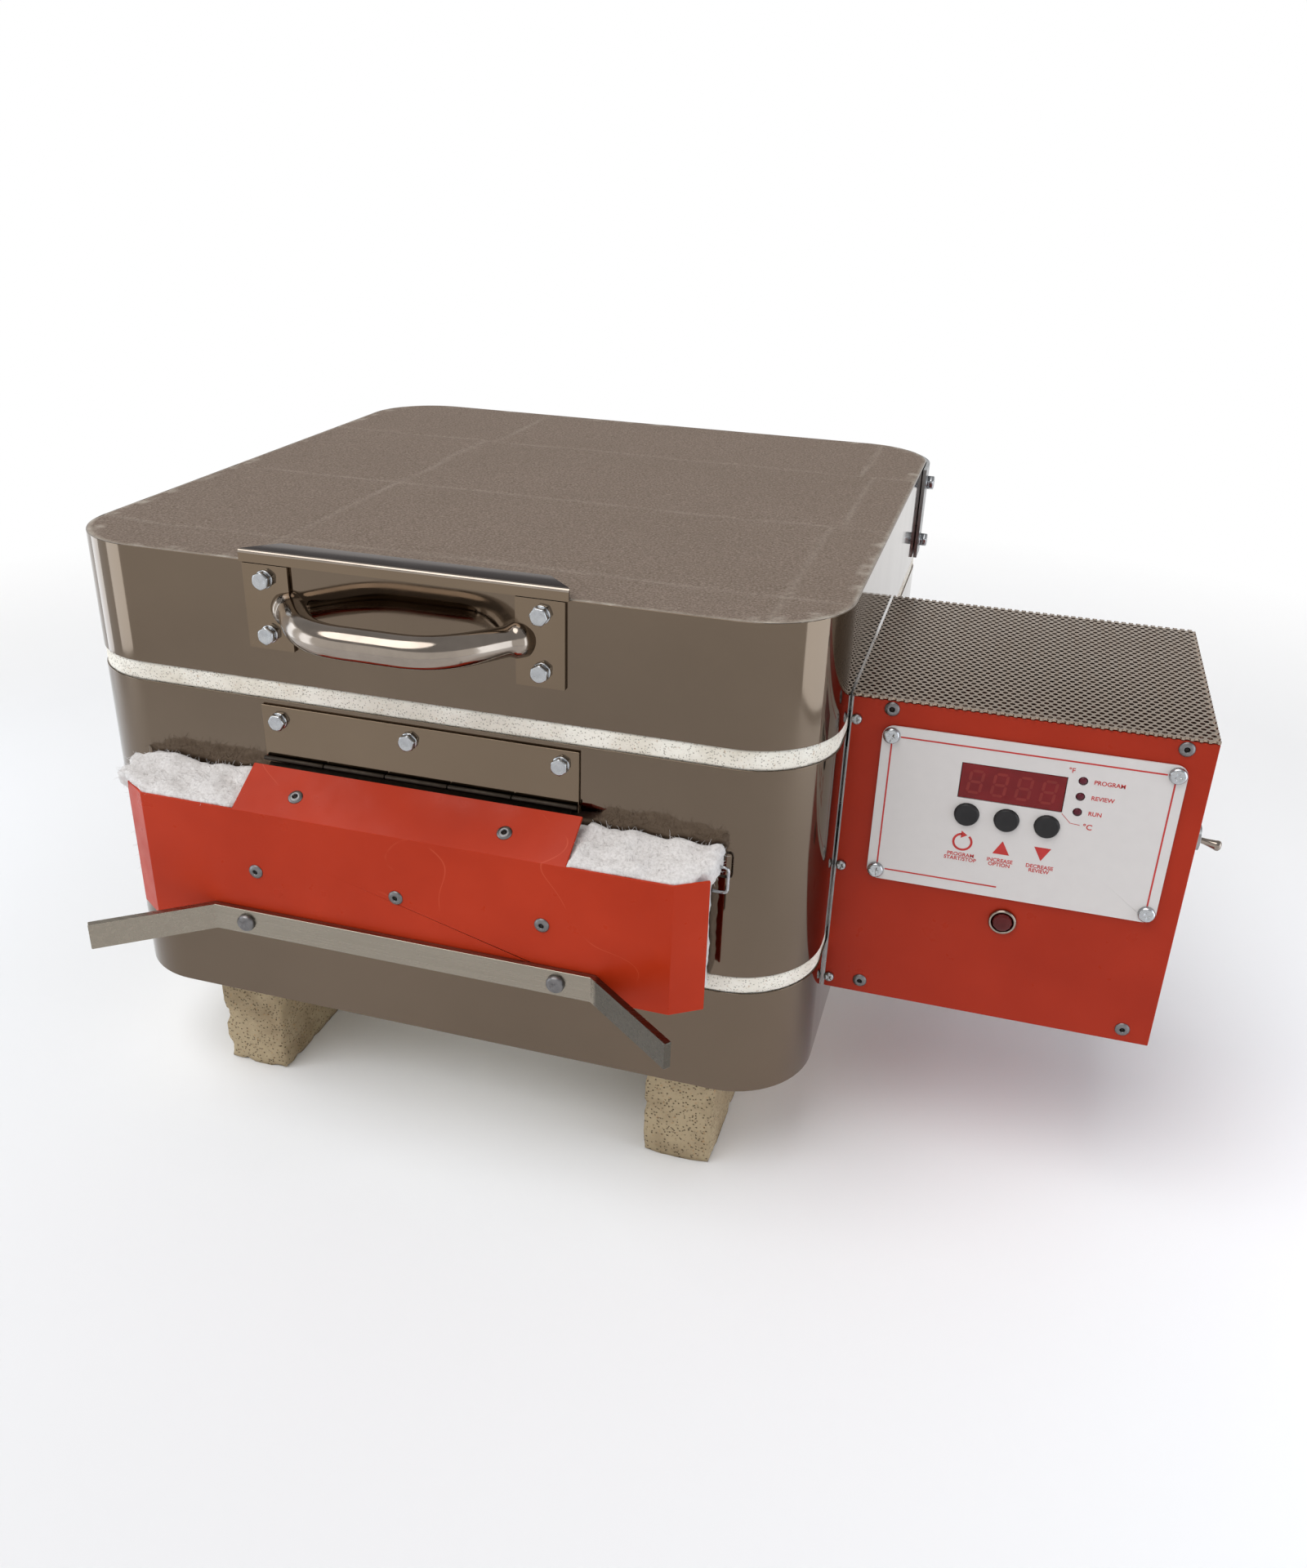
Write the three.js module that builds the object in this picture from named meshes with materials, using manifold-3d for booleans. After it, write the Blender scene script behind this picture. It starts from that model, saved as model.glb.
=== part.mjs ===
// A small front-loading test kiln: firebrick chamber in stainless steel bands, a hinged lid with a bow
// handle, a flip-up door lined with ceramic fibre, and a control box on its right side.
// Millimetres, +Z up, +X to the right of someone facing the door, which looks along -Y.
import * as THREE from 'three';
import { mergeVertices } from 'three/addons/utils/BufferGeometryUtils.js';
import Module from 'manifold-3d';

const wasm = await Module();
wasm.setup();

// ---------------------------------------------------------------- driving dimensions
const GAP = 0.3; // running clearance between pieces that touch
const RUNNING = 0.25; // radial clearance of a pin in its knuckle

// Brickwork
const CHAMBER = 228.6; // inside width and depth
const BRICK = 63.5; // thickness of walls, floor and lid
const RING_HEIGHT = 101.6; // height of the wall ring
const CORNER_RADIUS = 40; // outer vertical corners
const DOOR_OPENING_HEIGHT = 50.8;

// Steel bands
const SHEET = 0.8;
const LID_BAND_HEIGHT = 54.5;
const FLOOR_BAND_HEIGHT = 55;

// Feet, cut from firebrick and set by eye
const FOOT_HEIGHT = 57;
const FOOT_WIDTH = 34;
const FOOT_DEPTH = 114;
const FOOT_SETBACK = 12.8; // from the shell's front and back
const FOOT_LEFT_X = -112;
const FOOT_RIGHT_X = 120;

// Heating element, thermocouple
const GROOVE_HEIGHT = 12;
const GROOVE_DEPTH = 12;
const COIL = 8;
const COIL_BEND = 28; // outer radius of the coil's turn in a chamber corner
const ELEMENT_LEVELS = [28, 74]; // above the chamber floor
const ELEMENT_INSET = 24.3; // from the chamber's front to where the two levels join on the left
const TAIL_RADIUS = 2.5;
const TAIL_CLEARANCE = 2;
const TAIL_IN_BLOCK = 14; // how far the tails reach into their terminal block
const PROBE_RADIUS = 3;
const PROBE_REACH = 20; // length of bare probe in the chamber
const PROBE_HEAD_RADIUS = 9;
const PROBE_HEAD_LENGTH = 12;
const PROBE_POINT = 2;

// Lid furniture
const LID_FITTINGS_X = -6; // centre of handle and guard
const GUARD_WIDTH = 149;
const GUARD_DEPTH = 14;
const GUARD_LIP = 5.4; // height of its front lip
const GUARD_SHEET = 1.2;
const HANDLE_PLATE_WIDTH = 21.5;
const HANDLE_PLATE_HEIGHT = 38;
const HANDLE_PLATE_SPAN = 146;
const HANDLE_PLATE_THICKNESS = 1.5;
const HANDLE_TUBE_RADIUS = 7;
const HANDLE_REACH = 28.5; // tube centre line in front of the plates
const HANDLE_FOOT_SPAN = 102;
const HANDLE_GRIP = 24; // straight part of the bow
// Bezier handles of each leg: out of its foot, towards the grip's height, and back from the grip's end.
const HANDLE_FOOT_PULL = [11, 12];
const HANDLE_GRIP_PULL = 22;
const HANDLE_STEPS = 36;
const HANDLE_SIDES = 14;
const BOLT_HEAD_FLATS = 8;
const BOLT_HEAD_HEIGHT = 3.6;
const BOLT_SHANK_RADIUS = 2;
const BOLT_SHANK_LENGTH = 12;
const HANDLE_BOLT_PITCH = 24.6;
const HANDLE_BOLT_SPAN = 125.6;

// Lid hinge along the back, and the corner straps
const LID_LEAF_WIDTH = 220;
const LID_LEAF_HEIGHT = 30;
const LID_LEAF_THICKNESS = 1.5;
const LID_KNUCKLE_RADIUS = 4;
const LID_PIN_RADIUS = 2;
const LID_KNUCKLES = 5;
const STRAP_THICKNESS = 2;
const STRAP_HEIGHT = 52;
const STRAP_DROP = 1; // upper edge under the lid's top
const STRAP_FRONT_Y = 122;
const STRAP_BACK_X = 116;

// Flip door
const DOOR_X = -2;
const DOOR_PROUD = 28; // front face in front of the shell
const DOOR_FLAT_WIDTH = 251;
const DOOR_END_RUN = 13.3;
const DOOR_END_BACK = 9;
const DOOR_TOP = 58.8; // upper fold over the ring's underside
const DOOR_HEIGHT = 64.2;
const DOOR_TAB_WIDTH = 157.5;
const DOOR_SHEET = 1.2;
const FIBRE_WIDTH = 282;
const FIBRE_FRONT_RISE = 1.2; // front top edge over the upper fold
const FIBRE_BACK_RISE = 7.3; // back top edge over the upper fold
const BAR_HEIGHT = 12.7;
const BAR_THICKNESS = 3.2;
const BAR_STRAIGHT = 185;
const BAR_ARM = 55;
const BAR_ARM_ANGLE = THREE.MathUtils.degToRad(39);
const BAR_RISE = 1.3; // underside of the bar over the door's lower edge
const BAR_SCREW_SPAN = 151;
const BAR_SCREW_HEAD_RADIUS = 4.2;
const BAR_SCREW_HEAD_HEIGHT = 2.4;
const BAR_SCREW_RIM = 1.1; // straight height of the head's rim
const BAR_SCREW_CROWN_RADIUS = 2.5;

// Door hinge
const DOOR_PLATE_WIDTH = 150.5;
const DOOR_PLATE_TOP = 99.2; // over the ring's underside
const DOOR_PLATE_THICKNESS = 1.2;
const DOOR_AXIS_HEIGHT = 73.8; // over the ring's underside
const DOOR_KNUCKLE_RADIUS = 3;
const DOOR_PIN_RADIUS = 1.5;
const DOOR_KNUCKLES = 5;
const DOOR_LEAF_LENGTH = 24;

// Control box
const BOX_GAP = 5.7; // air gap to the shell
const PANEL_REVEAL = 0.7; // what the front panel and the cover leave of that gap
const BOX_WIDTH = 144.5;
const BOX_DEPTH = 142.5;
const BOX_HEIGHT = 152.2;
const BOX_SETBACK = 55.2; // front panel behind the shell's front
const BOX_DROP = 45.2; // top cover under the lid's top
const BOX_SHEET = 1.2;
const BOX_FLANGE = 10; // side returns at front and back
const BOX_LIP = 8; // bottom returns
const STANDOFF_RADIUS = 6;
const STANDOFF_INSET = 17; // from the box's front and back
const TAIL_INSET = 62.6; // element tails, from the box's front
const PROBE_INSET = 102.6;
const FACE_MARGIN = 9.5; // beside the face plate
const FACE_HEIGHT = 75.5;
const FACE_RADIUS = 5;
const FACE_SHEET = 1;
const FACE_DROP = 12.4; // face plate's upper edge under the box's top
const FACE_SCREW_INSET = 4;
const CONTROLS_X = -5.6; // centre of window and buttons
const WINDOW_WIDTH = 44.1;
const WINDOW_HEIGHT = 16.9;
const WINDOW_Z = 17.2; // over the face plate's centre
const BUTTON_RADIUS = 5.2;
const BUTTON_PITCH = 17;
const BUTTON_Z = 1.2;
const BUTTON_PROUD = 1.6;
const BUTTON_TRAVEL = 0.8;
const BUTTON_FLANGE_RADIUS = 6.4;
const BUTTON_FLANGE = 1;
const BUTTON_BEVEL = [0.8, 0.6];
const LED_RADIUS = 1.7;
const LED_X = 22.6;
const LED_Z = 17.5;
const LED_PITCH = 7.35;
const LED_PROUD = 0.5;
const LED_DOME = [0.3, 1]; // heights of its rounded front
const LAMP_DROP = 12; // lamp's centre under the face plate
const LAMP_BEZEL_RADIUS = 6.2;
const LAMP_BARREL_RADIUS = 5.2;
const LAMP_LENS_RADIUS = 4.4;
const LAMP_BARREL_LENGTH = 16;
const LAMP_SOCKET = 3; // depth of the lens's socket behind the front panel's face
const LAMP_RIM = 1.6;
const LAMP_LENS_PROUD = 1.4; // lens's crown in front of the rim
const LAMP_BEVEL = 0.6;
const BOARD_Y = 11;
const BOARD_THICKNESS = 1.6;
const BOARD_MARGIN = 3;
const WINDOW_MARGIN = 1; // of the hole behind the controls
const POST_RADIUS = 2.6;
const SWITCH_RADIUS = 3;
const TOGGLE_Y = 47.6;
const TOGGLE_DROP = 66.8; // under the box's top
const TOGGLE_BUSHING_RADIUS = 6;
const TOGGLE_BUSHING_OUT = 8.5;
const TOGGLE_BORE_RADIUS = 3.1;
const TOGGLE_BORE_DEPTH = 9;
const TOGGLE_PIVOT_DEPTH = 5;
const TOGGLE_LEVER_LENGTH = 15.2;
const TOGGLE_NECK_RADIUS = 1.5;
const TOGGLE_TIP_RADIUS = 2.5;
const TOGGLE_TIP_LENGTH = 2.6;
const TOGGLE_TILT = THREE.MathUtils.degToRad(12);
const TOGGLE_CASE = [22, 13, 28];
const NUT_FLATS = 14;
const NUT_THICKNESS = 2.5;
const BLOCK_SIZE = [20, 30, 66];
const RELAY_SIZE = [40, 34, 38];
const RELAY_BASE = 4;
const RELAY_FOOT = 6; // beyond the relay's sides
const RELAY_X = 8;
const RELAY_Y = 50;
const GLAND_X = -40;
const GLAND_Z = 30;
const GLAND_BARREL_RADIUS = 6.5;
const GLAND_HEX_FLATS = 17;
const GLAND_BORE_RADIUS = 4;
const GLAND_OUT = 16;
const GLAND_NUT = 4;
const GLAND_TAPER = 4;

// ---------------------------------------------------------------- derived levels
const HALF = CHAMBER / 2 + BRICK; // shell face
const BRICK_HALF = HALF - SHEET - GAP;
const BRICK_CORNER = CORNER_RADIUS - SHEET - GAP;
const FLOOR_Z = FOOT_HEIGHT;
const RING_Z = FLOOR_Z + BRICK;
const LID_Z = RING_Z + RING_HEIGHT;
const TOP_Z = LID_Z + BRICK;
const BOX_X = HALF + BOX_GAP + BOX_WIDTH / 2;
const BOX_Y = -HALF + BOX_SETBACK;
const BOX_Z = TOP_Z - BOX_DROP - BOX_HEIGHT;
const ELEMENT_FRONT_Y = -CHAMBER / 2 + ELEMENT_INSET;
const TAIL_Y = BOX_Y + TAIL_INSET;
const PROBE_Y = BOX_Y + PROBE_INSET;

// ---------------------------------------------------------------- finishes
const FINISHES = {
  firebrick: { color: 0xe9e0cd, roughness: 0.95, metalness: 0 },
  coatedBrick: { color: 0x82786a, roughness: 0.9, metalness: 0 },
  footBrick: { color: 0xb3a384, roughness: 0.95, metalness: 0 },
  polishedSteel: { color: 0x8a7d6c, roughness: 0.18, metalness: 1 },
  chrome: { color: 0xb9b4ac, roughness: 0.08, metalness: 1 },
  zinc: { color: 0xaeb4ba, roughness: 0.35, metalness: 1 },
  aluminium: { color: 0xa39d94, roughness: 0.4, metalness: 1 },
  orangePaint: { color: 0xbe4128, roughness: 0.3, metalness: 0 },
  fibre: { color: 0xf2f0ec, roughness: 1, metalness: 0 },
  elementWire: { color: 0x6f6a63, roughness: 0.6, metalness: 0.8 },
  ceramic: { color: 0xe8e4d8, roughness: 0.5, metalness: 0 },
  perforated: { color: 0x6d665c, roughness: 0.4, metalness: 1 },
  whitePlate: { color: 0xe4e2e4, roughness: 0.35, metalness: 0 },
  board: { color: 0x1f5a33, roughness: 0.6, metalness: 0 },
  darkRed: { color: 0x5a1016, roughness: 0.15, metalness: 0 },
  blackPlastic: { color: 0x151618, roughness: 0.4, metalness: 0 },
};

// ---------------------------------------------------------------- shape helpers
function toSolid(geometry) {
  const bare = geometry.clone();
  bare.deleteAttribute('normal');
  bare.deleteAttribute('uv');
  const merged = mergeVertices(bare, 1e-4);
  const vertProperties = new Float32Array(merged.attributes.position.array);
  const triVerts = new Uint32Array(merged.index.array);
  return new wasm.Manifold(new wasm.Mesh({ numProp: 3, vertProperties, triVerts }));
}

function toGeometry(solid) {
  const mesh = solid.getMesh();
  const geometry = new THREE.BufferGeometry();
  geometry.setAttribute('position', new THREE.BufferAttribute(mesh.vertProperties, 3));
  geometry.setIndex(new THREE.BufferAttribute(mesh.triVerts, 1));
  return geometry;
}

const join = (first, ...rest) =>
  toGeometry(rest.reduce((solid, other) => solid.add(toSolid(other)), toSolid(first)));

const cut = (first, ...rest) =>
  toGeometry(rest.reduce((solid, other) => solid.subtract(toSolid(other)), toSolid(first)));

const overlap = (first, second) => toGeometry(toSolid(first).intersect(toSolid(second)));

// A box between two corners.
function block(low, high) {
  const size = high.map((value, i) => value - low[i]);
  const centre = high.map((value, i) => (value + low[i]) / 2);
  return new THREE.BoxGeometry(...size).translate(...centre);
}

// A round bar between two points.
function rod(radius, from, to, sides = 20) {
  const start = new THREE.Vector3(...from);
  const end = new THREE.Vector3(...to);
  const along = end.clone().sub(start);
  const turn = new THREE.Quaternion().setFromUnitVectors(
    new THREE.Vector3(0, 1, 0),
    along.clone().normalize(),
  );
  const middle = start.add(end).multiplyScalar(0.5);
  return new THREE.CylinderGeometry(radius, radius, along.length(), sides)
    .applyQuaternion(turn)
    .translate(middle.x, middle.y, middle.z);
}

const hexRadius = (flats) => flats / Math.sqrt(3);

const extrude = (shape, depth) =>
  new THREE.ExtrudeGeometry(shape, { depth, bevelEnabled: false, curveSegments: 10 });

// A plan outline (x, y) raised from z0 to z1.
const raise = (shape, z0, z1) => extrude(shape, z1 - z0).translate(0, 0, z0);

// An end-on outline (y, z) stretched from x0 to x1.
function stretchX(shape, x0, x1) {
  const turn = new THREE.Matrix4().makeBasis(
    new THREE.Vector3(0, 1, 0),
    new THREE.Vector3(0, 0, 1),
    new THREE.Vector3(1, 0, 0),
  );
  return extrude(shape, x1 - x0).applyMatrix4(turn).translate(x0, 0, 0);
}

// A front outline (x, z) stretched from y0 to y1.
function stretchY(shape, y0, y1) {
  const turn = new THREE.Matrix4().makeBasis(
    new THREE.Vector3(1, 0, 0),
    new THREE.Vector3(0, 0, 1),
    new THREE.Vector3(0, -1, 0),
  );
  return extrude(shape, y1 - y0).applyMatrix4(turn).translate(0, y1, 0);
}

const polygon = (points) => new THREE.Shape(points.map(([a, b]) => new THREE.Vector2(a, b)));

function roundedRectangle(width, height, radius, x = 0, y = 0) {
  const right = width / 2;
  const top = height / 2;
  const shape = new THREE.Shape();
  shape.absarc(x + right - radius, y - top + radius, radius, -Math.PI / 2, 0);
  shape.absarc(x + right - radius, y + top - radius, radius, 0, Math.PI / 2);
  shape.absarc(x - right + radius, y + top - radius, radius, Math.PI / 2, Math.PI);
  shape.absarc(x - right + radius, y - top + radius, radius, Math.PI, 1.5 * Math.PI);
  shape.closePath();
  return shape;
}

// A turned piece: profile of [radius, height] pairs, its axis along the given direction from a point.
function turned(profile, origin, direction, sides = 24) {
  const points = profile.map(([radius, height]) => new THREE.Vector2(radius, height));
  const turn = new THREE.Quaternion().setFromUnitVectors(
    new THREE.Vector3(0, 1, 0),
    new THREE.Vector3(...direction).normalize(),
  );
  return new THREE.LatheGeometry(points, sides).applyQuaternion(turn).translate(...origin);
}

// A sheet bent along X: the outer face runs through the given (y, z) points, the sheet lies to the
// right of that walk.
function bentSheet(points, thickness) {
  const walk = points.map(([y, z]) => new THREE.Vector2(y, z));
  const normal = (from, to) => {
    const along = to.clone().sub(from).normalize();
    return new THREE.Vector2(along.y, -along.x);
  };
  const inner = walk.map((point, i) => {
    const before = normal(walk[Math.max(i - 1, 0)], walk[Math.max(i, 1)]);
    const last = walk.length - 1;
    const after = normal(walk[Math.min(i, last - 1)], walk[Math.min(i + 1, last)]);
    const mitre = before.clone().add(after);
    return point.clone().addScaledVector(mitre, (2 * thickness) / mitre.lengthSq());
  });
  return new THREE.Shape([...walk, ...inner.reverse()]);
}

function piece(group, name, geometry, finish) {
  geometry.computeVertexNormals();
  const mesh = new THREE.Mesh(geometry, new THREE.MeshStandardMaterial(FINISHES[finish]));
  mesh.name = name;
  group.add(mesh);
  return mesh;
}

// Knuckles of a hinge along X: [from, to] spans, the even ones on one leaf and the odd on the other.
function knuckleSpans(centre, width, count) {
  const pitch = width / count;
  return Array.from({ length: count }, (_, i) => {
    const from = centre - width / 2 + i * pitch;
    return [from + GAP / 2, from + pitch - GAP / 2];
  });
}

// ---------------------------------------------------------------- brickwork and bands
const brickPrism = (z0, z1) =>
  raise(roundedRectangle(2 * BRICK_HALF, 2 * BRICK_HALF, BRICK_CORNER), z0, z1);

function band(z0, z1) {
  const shape = roundedRectangle(2 * HALF, 2 * HALF, CORNER_RADIUS);
  const inner = 2 * (HALF - SHEET);
  shape.holes.push(roundedRectangle(inner, inner, CORNER_RADIUS - SHEET));
  return raise(shape, z0, z1);
}

const elementHeights = ELEMENT_LEVELS.map((level) => RING_Z + level);
const probeHeight = (elementHeights[0] + elementHeights[1]) / 2;
const chamberHalf = CHAMBER / 2;
const grooveBack = chamberHalf + GROOVE_DEPTH;

// Grooves round three walls at both levels, with the upright run that joins them on the left.
function elementGrooves() {
  const half = GROOVE_HEIGHT / 2;
  const levels = elementHeights.flatMap((z) => [
    block([-grooveBack, ELEMENT_FRONT_Y - half, z - half], [0, grooveBack, z + half]),
    block([0, TAIL_Y - half, z - half], [grooveBack, grooveBack, z + half]),
  ]);
  const upright = block(
    [-grooveBack, ELEMENT_FRONT_Y - half, elementHeights[0]],
    [0, ELEMENT_FRONT_Y + half, elementHeights[1]],
  );
  return [...levels, upright];
}

// The two tails and the probe pass through the right wall, its band and the control box.
function crossings(clearance, x0, x1) {
  const tails = elementHeights.map((z) =>
    rod(TAIL_RADIUS + clearance, [x0, TAIL_Y, z], [x1, TAIL_Y, z], 12));
  const probe = rod(PROBE_RADIUS + GAP, [x0, PROBE_Y, probeHeight], [x1, PROBE_Y, probeHeight], 12);
  return [...tails, probe];
}

function buildBrickwork(group) {
  piece(group, 'floor_slab', brickPrism(FLOOR_Z + GAP, RING_Z), 'firebrick');
  piece(group, 'floor_band', band(FLOOR_Z + GAP, FLOOR_Z + FLOOR_BAND_HEIGHT), 'polishedSteel');

  const bottom = RING_Z + GAP;
  const side = (from, to) =>
    overlap(brickPrism(bottom, LID_Z), block([from, -HALF, bottom], [to, HALF, LID_Z]));
  piece(group, 'wall_left', cut(side(-HALF, -chamberHalf), ...elementGrooves()), 'firebrick');
  piece(
    group,
    'wall_right',
    cut(side(chamberHalf, HALF), ...elementGrooves(), ...crossings(TAIL_CLEARANCE, 0, HALF)),
    'firebrick',
  );
  const between = chamberHalf - GAP;
  const back = block([-between, chamberHalf, bottom], [between, BRICK_HALF, LID_Z]);
  piece(group, 'wall_back', cut(back, ...elementGrooves()), 'firebrick');
  const lintelZ = RING_Z + DOOR_OPENING_HEIGHT;
  const lintel = block([-between, -BRICK_HALF, lintelZ], [between, -chamberHalf, LID_Z]);
  piece(group, 'door_lintel', lintel, 'firebrick');

  const opening = block([-chamberHalf, -HALF - 1, RING_Z - 1], [chamberHalf, -chamberHalf, lintelZ]);
  const holes = crossings(TAIL_CLEARANCE, 0, HALF + 1);
  piece(group, 'body_band', cut(band(bottom, LID_Z), opening, ...holes), 'polishedSteel');
}

function buildFeet(group) {
  const front = -HALF + FOOT_SETBACK;
  const rows = { front: [front, front + FOOT_DEPTH], rear: [-front - FOOT_DEPTH, -front] };
  const columns = { left: FOOT_LEFT_X, right: FOOT_RIGHT_X };
  for (const [row, [y0, y1]] of Object.entries(rows)) {
    for (const [column, x] of Object.entries(columns)) {
      const low = [x - FOOT_WIDTH / 2, y0, 0];
      const high = [x + FOOT_WIDTH / 2, y1, FOOT_HEIGHT];
      piece(group, `foot_${row}_${column}`, block(low, high), 'footBrick');
    }
  }
}

// ---------------------------------------------------------------- heating element and probe
// Plan of one level: a U of the coil's width round the left, back and right walls.
function elementPlan() {
  const outer = chamberHalf + GROOVE_DEPTH / 2 + COIL / 2;
  const inner = outer - COIL;
  const bend = COIL_BEND;
  const innerBend = bend - COIL;
  const turn = outer - bend;
  const frontLeft = ELEMENT_FRONT_Y - COIL / 2;
  const frontRight = TAIL_Y - COIL / 2;
  const shape = new THREE.Shape();
  shape.moveTo(-inner, frontLeft);
  shape.absarc(-turn, turn, innerBend, Math.PI, Math.PI / 2, true);
  shape.absarc(turn, turn, innerBend, Math.PI / 2, 0, true);
  shape.lineTo(inner, frontRight);
  shape.lineTo(outer, frontRight);
  shape.absarc(turn, turn, bend, 0, Math.PI / 2);
  shape.absarc(-turn, turn, bend, Math.PI / 2, Math.PI);
  shape.lineTo(-outer, frontLeft);
  shape.closePath();
  return shape;
}

const boxInnerX = HALF + BOX_GAP + BOX_SHEET;
const blockX = boxInnerX + GAP;
const tailEnd = blockX + TAIL_IN_BLOCK;

function buildElement(group) {
  const half = COIL / 2;
  const middle = chamberHalf + GROOVE_DEPTH / 2;
  const levels = elementHeights.map((z) => raise(elementPlan(), z - half, z + half));
  const upright = block(
    [-middle - half, ELEMENT_FRONT_Y - half, elementHeights[0]],
    [-middle + half, ELEMENT_FRONT_Y + half, elementHeights[1]],
  );
  const tails = elementHeights.map((z) =>
    rod(TAIL_RADIUS, [middle, TAIL_Y, z], [tailEnd, TAIL_Y, z], 12));
  piece(group, 'heating_element', join(upright, ...levels, ...tails), 'elementWire');

  const low = [blockX, TAIL_Y - BLOCK_SIZE[1] / 2, probeHeight - BLOCK_SIZE[2] / 2];
  const high = low.map((value, i) => value + BLOCK_SIZE[i]);
  const sockets = elementHeights.map((z) =>
    rod(TAIL_RADIUS + GAP, [blockX - 1, TAIL_Y, z], [tailEnd + GAP, TAIL_Y, z], 12));
  piece(group, 'terminal_block', cut(block(low, high), ...sockets), 'ceramic');

  const tip = chamberHalf - PROBE_REACH;
  const head = boxInnerX + GAP - tip;
  const probe = [
    [0, 0],
    [PROBE_RADIUS, PROBE_POINT],
    [PROBE_RADIUS, head],
    [PROBE_HEAD_RADIUS, head],
    [PROBE_HEAD_RADIUS, head + PROBE_HEAD_LENGTH],
    [0, head + PROBE_HEAD_LENGTH],
  ];
  piece(group, 'thermocouple', turned(probe, [tip, PROBE_Y, probeHeight], [1, 0, 0]), 'ceramic');
}

// ---------------------------------------------------------------- hinges
// A leaf with its knuckles: plate, knuckle spans, pin bore and room for the other leaf's knuckles.
function hingeLeaf({ plate, own, other, axis, knuckle, pin }) {
  const [y, z] = axis;
  const alongX = (radius, [x0, x1], sides) => rod(radius, [x0, y, z], [x1, y, z], sides);
  const ends = [...own, ...other].flat();
  const whole = [Math.min(...ends) - 1, Math.max(...ends) + 1];
  const room = other.map(([x0, x1]) => alongX(knuckle + GAP, [x0 - GAP, x1 + GAP], 24));
  const barrels = own.map((span) => alongX(knuckle, span, 24));
  return cut(join(cut(plate, ...room), ...barrels), alongX(pin + RUNNING, whole, 16));
}

const doorAxis = [-HALF - GAP - DOOR_KNUCKLE_RADIUS, RING_Z + DOOR_AXIS_HEIGHT];
const doorSpans = knuckleSpans(DOOR_X, DOOR_PLATE_WIDTH, DOOR_KNUCKLES);
const lidAxis = [
  HALF + GAP + LID_KNUCKLE_RADIUS,
  (LID_Z + TOP_Z - LID_BAND_HEIGHT) / 2,
];
const lidSpans = knuckleSpans(0, LID_LEAF_WIDTH, LID_KNUCKLES);
const isEven = (_, i) => i % 2 === 0;
const isOdd = (_, i) => i % 2 === 1;

function hingePin(radius, axis, centre, width) {
  const [y, z] = axis;
  return rod(radius, [centre - width / 2, y, z], [centre + width / 2, y, z], 16);
}

function buildFixedHinges(group) {
  const front = -HALF - GAP;
  const plate = block(
    [DOOR_X - DOOR_PLATE_WIDTH / 2, front - DOOR_PLATE_THICKNESS, doorAxis[1]],
    [DOOR_X + DOOR_PLATE_WIDTH / 2, front, RING_Z + DOOR_PLATE_TOP],
  );
  const doorLeaf = hingeLeaf({
    plate,
    own: doorSpans.filter(isEven),
    other: doorSpans.filter(isOdd),
    axis: doorAxis,
    knuckle: DOOR_KNUCKLE_RADIUS,
    pin: DOOR_PIN_RADIUS,
  });
  piece(group, 'door_hinge_plate', doorLeaf, 'polishedSteel');
  const doorPin = hingePin(DOOR_PIN_RADIUS, doorAxis, DOOR_X, DOOR_PLATE_WIDTH);
  piece(group, 'door_hinge_pin', doorPin, 'zinc');

  const back = HALF + GAP;
  const lower = hingeLeaf({
    plate: block(
      [-LID_LEAF_WIDTH / 2, back, lidAxis[1] - LID_LEAF_HEIGHT],
      [LID_LEAF_WIDTH / 2, back + LID_LEAF_THICKNESS, lidAxis[1]],
    ),
    own: lidSpans.filter(isEven),
    other: lidSpans.filter(isOdd),
    axis: lidAxis,
    knuckle: LID_KNUCKLE_RADIUS,
    pin: LID_PIN_RADIUS,
  });
  piece(group, 'lid_hinge_lower_leaf', lower, 'zinc');
  piece(group, 'lid_hinge_pin', hingePin(LID_PIN_RADIUS, lidAxis, 0, LID_LEAF_WIDTH), 'zinc');
}

// ---------------------------------------------------------------- lid
function buildGuard(group) {
  const front = -HALF - GAP;
  const outline = bentSheet(
    [
      [front - GUARD_SHEET, TOP_Z - GAP],
      [front - GUARD_SHEET, TOP_Z - GAP + GUARD_LIP],
      [front - GUARD_SHEET + GUARD_DEPTH, TOP_Z - GAP + GUARD_LIP],
    ],
    GUARD_SHEET,
  );
  const x0 = LID_FITTINGS_X - GUARD_WIDTH / 2;
  const x1 = LID_FITTINGS_X + GUARD_WIDTH / 2;
  const back = front + 2 * GUARD_DEPTH;
  const mitre = (x) =>
    raise(
      polygon([[x, front], [x - GUARD_DEPTH, front], [x - GUARD_DEPTH, back], [x + 2 * GUARD_DEPTH, back]]),
      TOP_Z - GUARD_LIP,
      TOP_Z + 2 * GUARD_LIP,
    );
  const sheet = stretchX(outline, x0, x1);
  piece(group, 'lid_guard', cut(sheet, mitre(x0), flipped(mitre(-x1))), 'polishedSteel');
}

// A geometry mirrored in X, with its faces turned back to point out.
function flipped(geometry) {
  const copy = geometry.index ? geometry.toNonIndexed() : geometry.clone();
  copy.scale(-1, 1, 1);
  const { array } = copy.attributes.position;
  for (let i = 0; i < array.length; i += 9) {
    for (let k = 0; k < 3; k += 1) {
      [array[i + 3 + k], array[i + 6 + k]] = [array[i + 6 + k], array[i + 3 + k]];
    }
  }
  return copy;
}

const plateFront = -HALF - GAP - HANDLE_PLATE_THICKNESS;
const handleZ = TOP_Z - GAP - HANDLE_PLATE_HEIGHT / 2;

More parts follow.
